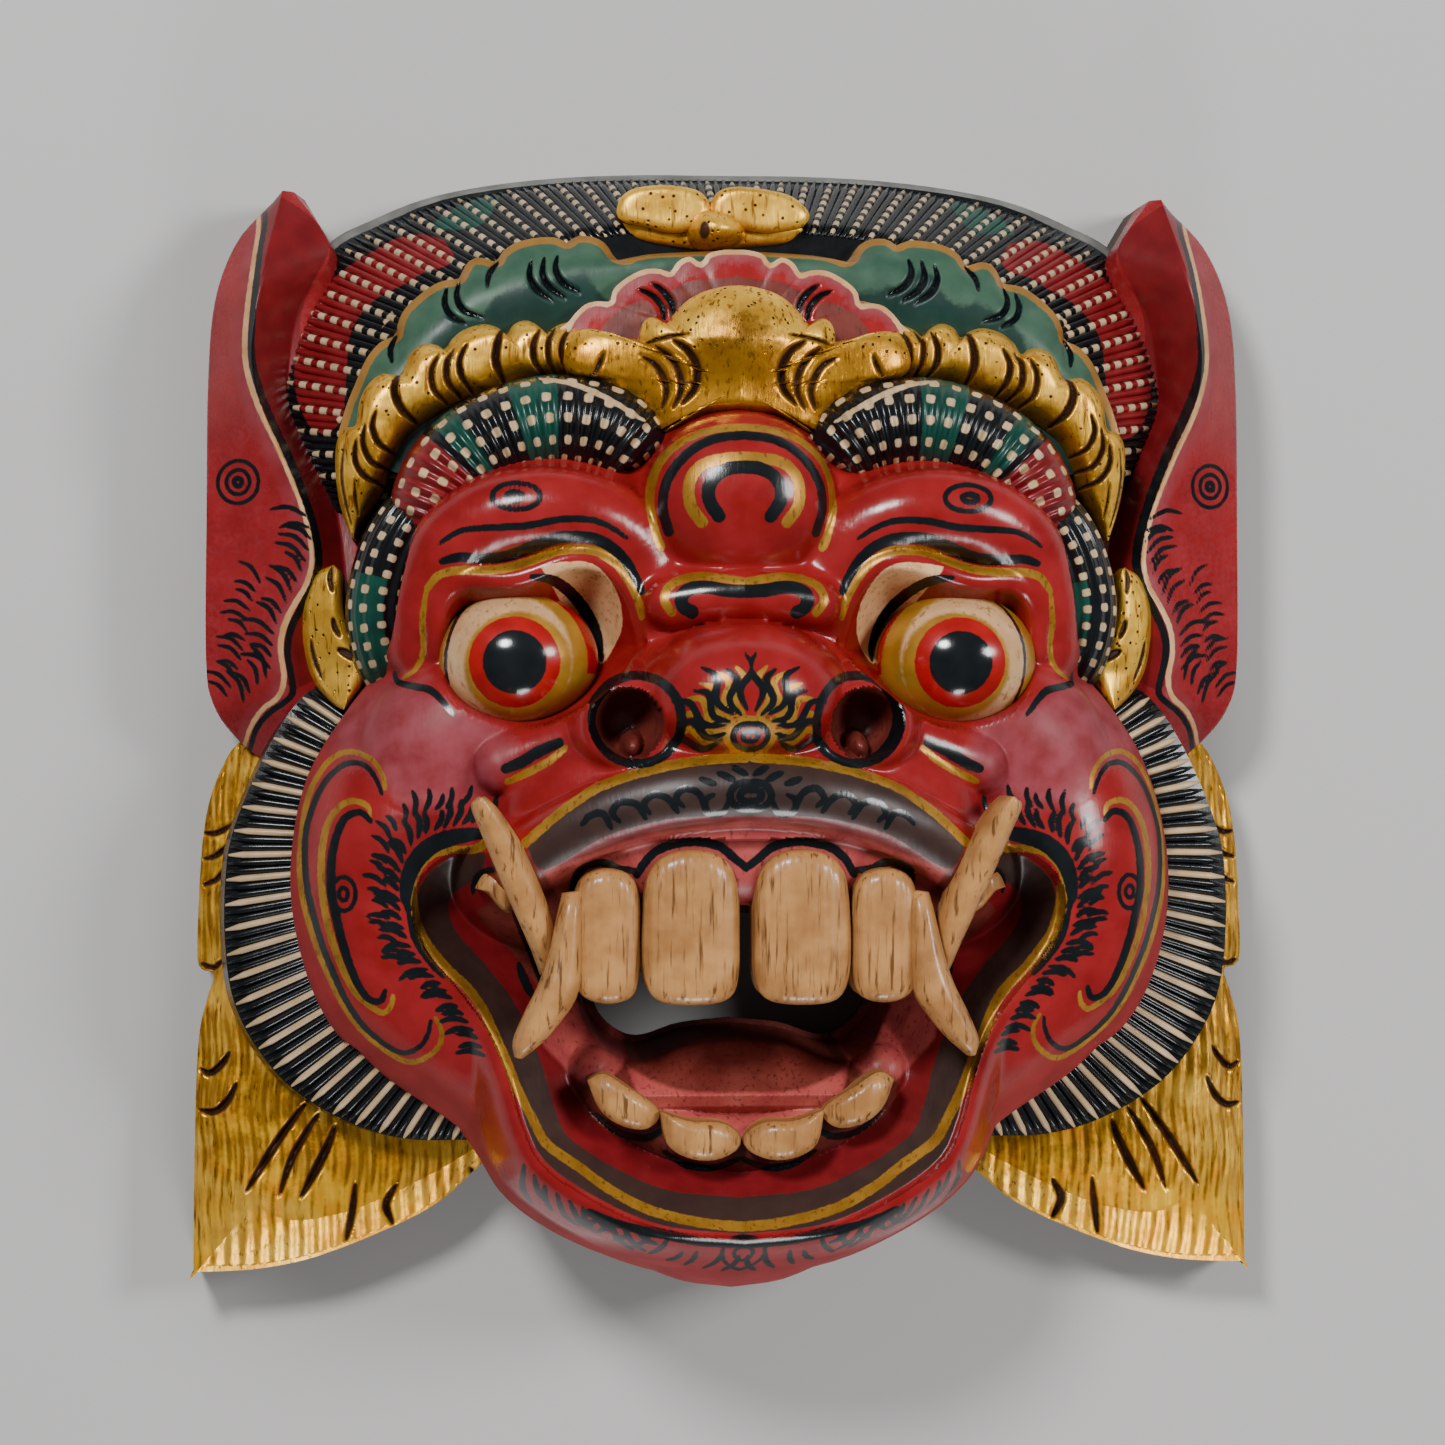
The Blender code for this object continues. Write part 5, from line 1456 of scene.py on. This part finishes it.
RUFF = [RUFF_RIM - 0.12 * RUFF_ACROSS - (0, 0, 9), RUFF_RIM - 0.02 * RUFF_ACROSS, RUFF_ROOT,
        RUFF_ROOT + 0.9 * RUFF_ACROSS - (0, 0, 4)]


def ruff_rib_coats(x, y, row, share, reach):
    """Every third rib is cream but for its black tip."""
    return {"cream": np.where(row % 3 == 1, 3.0 - 2.6 * (share < 0.06), -FAR)}


for side, word in SIDES:
    black_hair.dress(shell("ruff_" + word, sheet(RUFF, side), 60, 12, 3))
    guides = (RUFF_RIM, RUFF_ROOT + 0.3 * RUFF_ACROSS)
    rim, root = (guide * (side, 1, 1) + (0, 0, RIB_LIFT) for guide in guides)
    lay_ribs("ruff_ribs_" + word, rim, root, RUFF_RIBS, 2.0, 1.3, black_hair, ruff_rib_coats)

# %% [markdown]
# ## Gilded wings
# Behind the ruff hang two gilded leaves with fine flutes, cuts and a notch in the edge. Gold leaf on a
# fluted board wears off in streaks, and its flutes catch light in streaks, so bright and deep gold
# follow the same direction as the flutes: partly wear, partly painted highlights and painted shade.
# Slow waves keep them from looking ruled.

# %% Wings
WING = [
    [(122, -4, 18), (131, -5.6, 18), (137, -16.4, 18), (140, -29.3, 19), (141.4, -50, 19),
     (141.4, -65, 19), (137.3, -67.4, 19), (139, -74, 20), (141.2, -85, 21), (142.2, -110, 21),
     (142.6, -146.8, 21), (142.2, -147.2, 21), (125.5, -146.5, 21), (110, -143.3, 22), (93, -137, 22),
     (78, -129.5, 22), (65.8, -119, 22)],
    [(118, -8, 26), (125, -14, 27), (129, -30, 27), (131, -50, 27), (130, -68, 27), (131, -84, 28),
     (131, -104, 29), (128, -124, 29), (118, -132, 29), (104, -131, 29), (90, -126, 29),
     (76, -119, 28), (64, -112, 26)],
    [(104, -8, 26), (112, -26, 27), (114, -46, 27), (110, -66, 28), (104, -84, 29), (94, -96, 29),
     (80, -102, 29), (58, -100, 26)],
]
WING_CUTS = [(2.2, 0.3, [(203, 1066), (214, 1070), (226, 1060), (234, 1048)]),
             (2.4, 0.3, [(203, 1107), (218, 1108), (232, 1096), (241, 1078)]),
             (2.6, 0.2, [(309, 1098), (294, 1118), (276, 1144), (250, 1186)]),
             (2.4, 0.2, [(322, 1108), (308, 1130), (294, 1156), (283, 1190)]),
             (2.8, 0.2, [(338, 1120), (331, 1140), (318, 1166), (304, 1192)]),
             (2.2, 0.3, [(358, 1178), (355, 1205), (348, 1238)]),
             (2.4, 0.3, [(398, 1180), (388, 1200), (394, 1222)]),
             (1.8, 0.3, [(206, 832), (220, 832), (238, 822)]),
             (1.8, 0.3, [(206, 858), (220, 854), (236, 840)]),
             (1.8, 0.3, [(206, 884), (220, 878), (232, 864)]),
             (1.8, 0.4, [(204, 962), (216, 966), (226, 958)]),
             (1.4, 0.3, [(470, 1165), (476, 1175), (480, 1182)])]


def wing_relief(x, y, along, across):
    """Fine flutes down the leaf, with its cuts."""
    flutes = 0.25 * np.sin(x * 1.6 + 0.6 * np.sin(y * 0.15)) * (across > 0.05)
    return flutes + carve(x, y, WING_CUTS, 27, 2.4)


def wing_coats(x, y, *rest):
    """Bright and deep streaks run down the leaf: partly rubbed gold, partly painted highlights and
    shade on the flutes. The gold is deeper towards the top.
    """
    streaks = np.sin(2.7 * x + 2 * np.sin(0.23 * y)) * np.sin(0.9 * x + 1.5 * np.sin(0.05 * y) + 1)
    patches = np.sin(0.27 * x + 0.21 * y) * np.sin(0.15 * x - 0.29 * y) + np.sin(0.09 * y + 0.06 * x)
    upwards = np.clip(0.12 * (y + 124), -1.5, 1.8)
    return {"groove": paint(x, y, WING_CUTS, 27), "pale": 2 * streaks + 2 * patches - upwards - 1,
            "deep": -3 * streaks - 0.6 + 3 * patches + upwards}


for side, word in SIDES:
    gilding.dress(shell("wing_" + word, sheet(WING, side, wing_relief), 64, 20, 6, fields=wing_coats))

# %% [markdown]
# ## Eyes
# The bulging eyes are painted in rings: black pupil, red, gold, cream, and gold again. Both look
# a little to one side, as in the picture.

# %% Eyes
GAZE = (-1.2, -1.0)
PUPIL, RED_RING, GOLD_RING, CREAM_RING, LINE_RING, RED_CORNER = 8.0, 11.5, 13.5, 16.2, 17.3, 18.6


def eye_coats(side):
    """Rings round the gaze; the gold ones are wider on the side of the nose."""

    def coats(x, y, *rest):
        dx, dy = x - side * EYE[0] - GAZE[0], y - EYE[1] - GAZE[1]
        nose_ward, away = -side * dx, np.hypot(dx, dy)
        inner = GOLD_RING - np.hypot(nose_ward - 0.9, dy + 0.8)
        outer = np.hypot(nose_ward + 1.6, dy - 1.0) - CREAM_RING
        line = np.where(nose_ward < -4, 0.45 - np.abs(np.hypot(dx, 0.85 * dy) - LINE_RING), -FAR)
        corner = np.where((nose_ward > 4) & (dy > -3), away - RED_CORNER, -FAR)
        return {"ink": np.maximum(PUPIL - away, line), "scarlet": np.maximum(RED_RING - away, corner),
                "gold": np.maximum(inner, outer)}

    return coats


for side, word in SIDES:
    place = pebble((side * EYE[0], EYE[1]), EYE_RADII, 70, 90.5)
    painted_eye.dress(shell("eye_" + word, place, 30, 30, 4, 60, eye_coats(side), 1.0))

# %% [markdown]
# ## Teeth, tusks and fangs
# The teeth are left as varnished wood with the grain upright. Each is a flat block with rounded
# edges, traced from the picture. Tusks and fangs are curved blades between two traced edges.

# %% Teeth
UPPER_TOOTH_EDGES = [[(645, 900), (643, 940), (645, 975), (653, 996), (672, 1004), (712, 1004),
                      (733, 996), (740, 975), (741, 935), (740, 895), (733, 868), (716, 853),
                      (692, 849), (666, 855), (650, 872)],
                     [(573, 930), (573, 968), (582, 994), (606, 1003), (632, 997), (640, 975),
                      (641, 935), (640, 895), (630, 874), (606, 868), (584, 876), (575, 898)]]
LOWER_TOOTH_EDGES = [[(661, 1111), (690, 1121), (722, 1123), (741, 1135), (739, 1150), (716, 1160),
                      (690, 1158), (668, 1144)],
                     [(588, 1080), (605, 1073), (630, 1088), (657, 1106), (660, 1119), (645, 1129),
                      (620, 1124), (600, 1108)]]
SIDE_TOOTH_EDGE = [(476, 888), (484, 874), (497, 870), (509, 878), (514, 896), (512, 912), (502, 908),
                   (488, 892)]


def tooth(name, edge, top, foot, side, columns=14, squareness=12):
    """A tooth inside a traced edge: top is the height of its front, foot the height of its root."""
    loop = traced(edge + edge[:1], top)[:, :2] * (side, 1)
    loop = smooth_path(loop, 4 * len(edge))[:-1]
    centre = loop.mean(axis=0)
    half = np.ptp(loop[:, 0]) / 2

    def height(x, y, share):
        front = top - 1.8 * ((x - centre[0]) / half) ** 2 + 0.05 * np.sin(x * 3.1)
        return front - 2.6 * share**squareness

    def coats(x, y, z, u, v):
        return {"edge": 16 * (np.maximum(np.abs(u), np.abs(v)) - 0.94)}

    place = mound(loop, centre, height, 0.8)
    varnished_teeth.dress(shell(name, place, columns, columns, 5, foot, coats, 0.9))


for side, word in SIDES:
    for number, edge in enumerate(UPPER_TOOTH_EDGES):
        tooth(f"upper_tooth_{number + 1}_{word}", edge, 104 - 2 * number, 84 - 2 * number, side, 18)
    for number, edge in enumerate(LOWER_TOOTH_EDGES):
        tooth(f"lower_tooth_{number + 1}_{word}", edge, 89 - 3 * number, 62 - 4 * number, side, 12, 4)
    tooth("side_tooth_" + word, SIDE_TOOTH_EDGE, 88, 58, side, 10, 4)

# %% Tusks and fangs
TUSK_EDGES = [[(479, 797), (472, 806), (481, 830), (494, 862), (507, 893), (520, 922), (532, 950),
               (541, 975)],
              [(487, 797), (497, 806), (509, 822), (522, 842), (534, 868), (546, 897), (554, 925),
               (557, 955)]]
FANG_EDGES = [[(563, 893), (556, 925), (549, 956), (540, 984), (526, 1012), (514, 1040), (515, 1056)],
              [(584, 890), (584, 930), (583, 968), (577, 998), (562, 1020), (545, 1040), (524, 1058)]]


def blade_relief(x, y, along, across):
    """Rounded across, and rounded off at both ends."""
    return -3.4 * np.abs(2 * across - 1) ** 3 - 2.5 * np.abs(2 * along - 1) ** 10


def blade(name, edges, heights, side):
    """A tusk between two traced edges, with three heights along it."""
    heights = np.interp(np.linspace(0, 1, len(edges[0])), [0, 0.5, 1], heights)
    place = sheet([traced(edge, heights) for edge in edges], side, blade_relief)
    varnished_teeth.dress(shell(name, place, 24, 6, 5, float(min(heights)) - 8, bare_side=1.0))


for side, word in SIDES:
    blade("tusk_" + word, TUSK_EDGES, (109, 103, 98), side)
    blade("fang_" + word, FANG_EDGES, (103, 105, 103), side)

# %% [markdown]
# ## The flower
# A gilded flower stands on the fan, at the top of the head: two petals side by side, a wider one
# under them, and a bud in front. It sits a little to the left of the middle, so its outlines are
# traced whole and not mirrored.

# %% Flower
PETALS = {
    "petal_left": (52, [(709, 200), (700, 191), (686, 187), (668, 185), (650, 186), (634, 189),
                        (623, 196), (618, 206), (618, 216), (626, 222), (645, 226), (664, 231),
                        (680, 232), (700, 226), (711, 214)]),
    "petal_right": (52, [(712, 200), (720, 190), (736, 186), (756, 187), (775, 190), (790, 194),
                         (801, 201), (809, 210), (810, 217), (803, 225), (785, 229), (765, 231),
                         (745, 228), (725, 224), (711, 214)]),
    "under_petal": (48, [(622, 222), (632, 234), (645, 241), (668, 245), (690, 248), (713, 250),
                         (740, 247), (770, 244), (788, 241), (797, 234), (803, 225), (760, 214),
                         (680, 214)])}
BUD_EDGE = [(688, 228), (692, 214), (700, 207), (716, 206), (732, 209), (744, 219), (748, 230),
            (740, 240), (722, 246), (704, 246), (692, 240)]
# The bud's hole is not carved; it is a patch of painted shade.
BUD_HOLE = [(700, 226), (704, 222), (709, 228), (709, 237), (703, 240), (699, 234)]


def flower_coats(x, y, *rest):
    """Pits all over, a hole in the bud shown only as painted shade, and deeper gold on the lower half.
    """
    hole = depth_inside(x, y, smooth_path(from_photo(BUD_HOLE + BUD_HOLE[:1], 54), 30))
    return {"pits": x * 0 + 1, "groove": np.clip(hole, -FAR, FAR), "deep": 128 - y}


def flower_part(name, edge, top, dome):
    """A petal or bud inside a traced edge, with a rounded rim; dome is the rise of its middle."""
    loop = smooth_path(from_photo(edge + edge[:1], top), 4 * len(edge))[:-1]
    place = mound(loop, loop.mean(axis=0),
                  lambda x, y, share: top - 2.0 * share**8 - dome * share**2, 0.8)
    gilding.dress(shell(name, place, 16, 14, 5, 30, flower_coats))


for name, (top, edge) in PETALS.items():
    flower_part(name, edge, top, -0.4)
flower_part("bud", BUD_EDGE, 57, 6)

# %% [markdown]
# ## Floor, light and camera
# The mask lies on pale paper. Three round softboxes light it: a strong one from the upper left, as
# in the picture, a weaker one from the right, and a low one that reaches under the chin. The camera
# hangs a metre over the back of the mask and a little to the left, where the photographer stood.

# %% Floor
FLOOR_REACH, FLOOR_COLOUR = 3, (0.48, 0.475, 0.465, 1)
floor_mesh = bpy.data.meshes.new("floor")
corners = [(a * FLOOR_REACH, b * FLOOR_REACH, 0) for a, b in ((-1, -1), (1, -1), (1, 1), (-1, 1))]
floor_mesh.from_pydata(corners, [], [(0, 1, 2, 3)])
floor = link("floor", floor_mesh)
paper = bpy.data.materials.new("pale_floor")
paper.use_nodes = True
paper_shader = paper.node_tree.nodes["Principled BSDF"]
paper_shader.inputs["Base Color"].default_value = FLOOR_COLOUR
paper_shader.inputs["Roughness"].default_value = 0.9
floor.data.materials.append(paper)
print("the floor is", 2 * FLOOR_REACH, "m wide")


# %% Lamps and camera
def aim(obj, target):
    """Turns a lamp or camera to a target, with the crown of the mask upwards in its view."""
    back = (obj.location - Vector(target)).normalized()
    right = Vector((0, 1, 0)).cross(back).normalized()
    obj.rotation_euler = Matrix((right, back.cross(right), back)).transposed().to_euler()


LAMP_TARGET, SKY, SKY_STRENGTH = (0, 0, 0.05), (0.9, 0.92, 0.95, 1), 0.16
CAMERA_PLACE, CAMERA_TARGET, LENS, SENSOR = (-0.07, 0.0, 1.0), (0.001, 0.0, 0.0), 90.0, 36.0
LAMPS = {"key": ((-0.5, 0.7, 1.2), 0.3, 20), "fill": ((0.9, 0.3, 1.0), 0.35, 12),
         "low": ((0.1, -1.1, 0.5), 0.35, 7)}
for name, (place, size, power) in LAMPS.items():
    data = bpy.data.lights.new(name, "AREA")
    data.shape, data.size, data.energy = "DISK", size, power
    lamp = link(name, data)
    lamp.location = place
    aim(lamp, LAMP_TARGET)
world = bpy.data.worlds.new("studio")
bpy.context.scene.world = world
world.use_nodes = True
world.node_tree.nodes["Background"].inputs["Color"].default_value = SKY
world.node_tree.nodes["Background"].inputs["Strength"].default_value = SKY_STRENGTH
camera = link("camera", bpy.data.cameras.new("camera"))
camera.data.lens, camera.data.sensor_width = LENS, SENSOR
camera.location = CAMERA_PLACE
aim(camera, CAMERA_TARGET)
bpy.context.scene.camera = camera
print(len(LAMPS), "lamps and a lens of", LENS, "mm")

# %% [markdown]
# ## Tying the pieces to the body
# Every piece rides on the one body of the imported model. Together they stand in for the plain
# solid, which is hidden.

# %% Tie the pieces to the frame
for piece in pieces:
    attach(piece, "root")
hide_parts("mask")
print(len(pieces), "pieces")
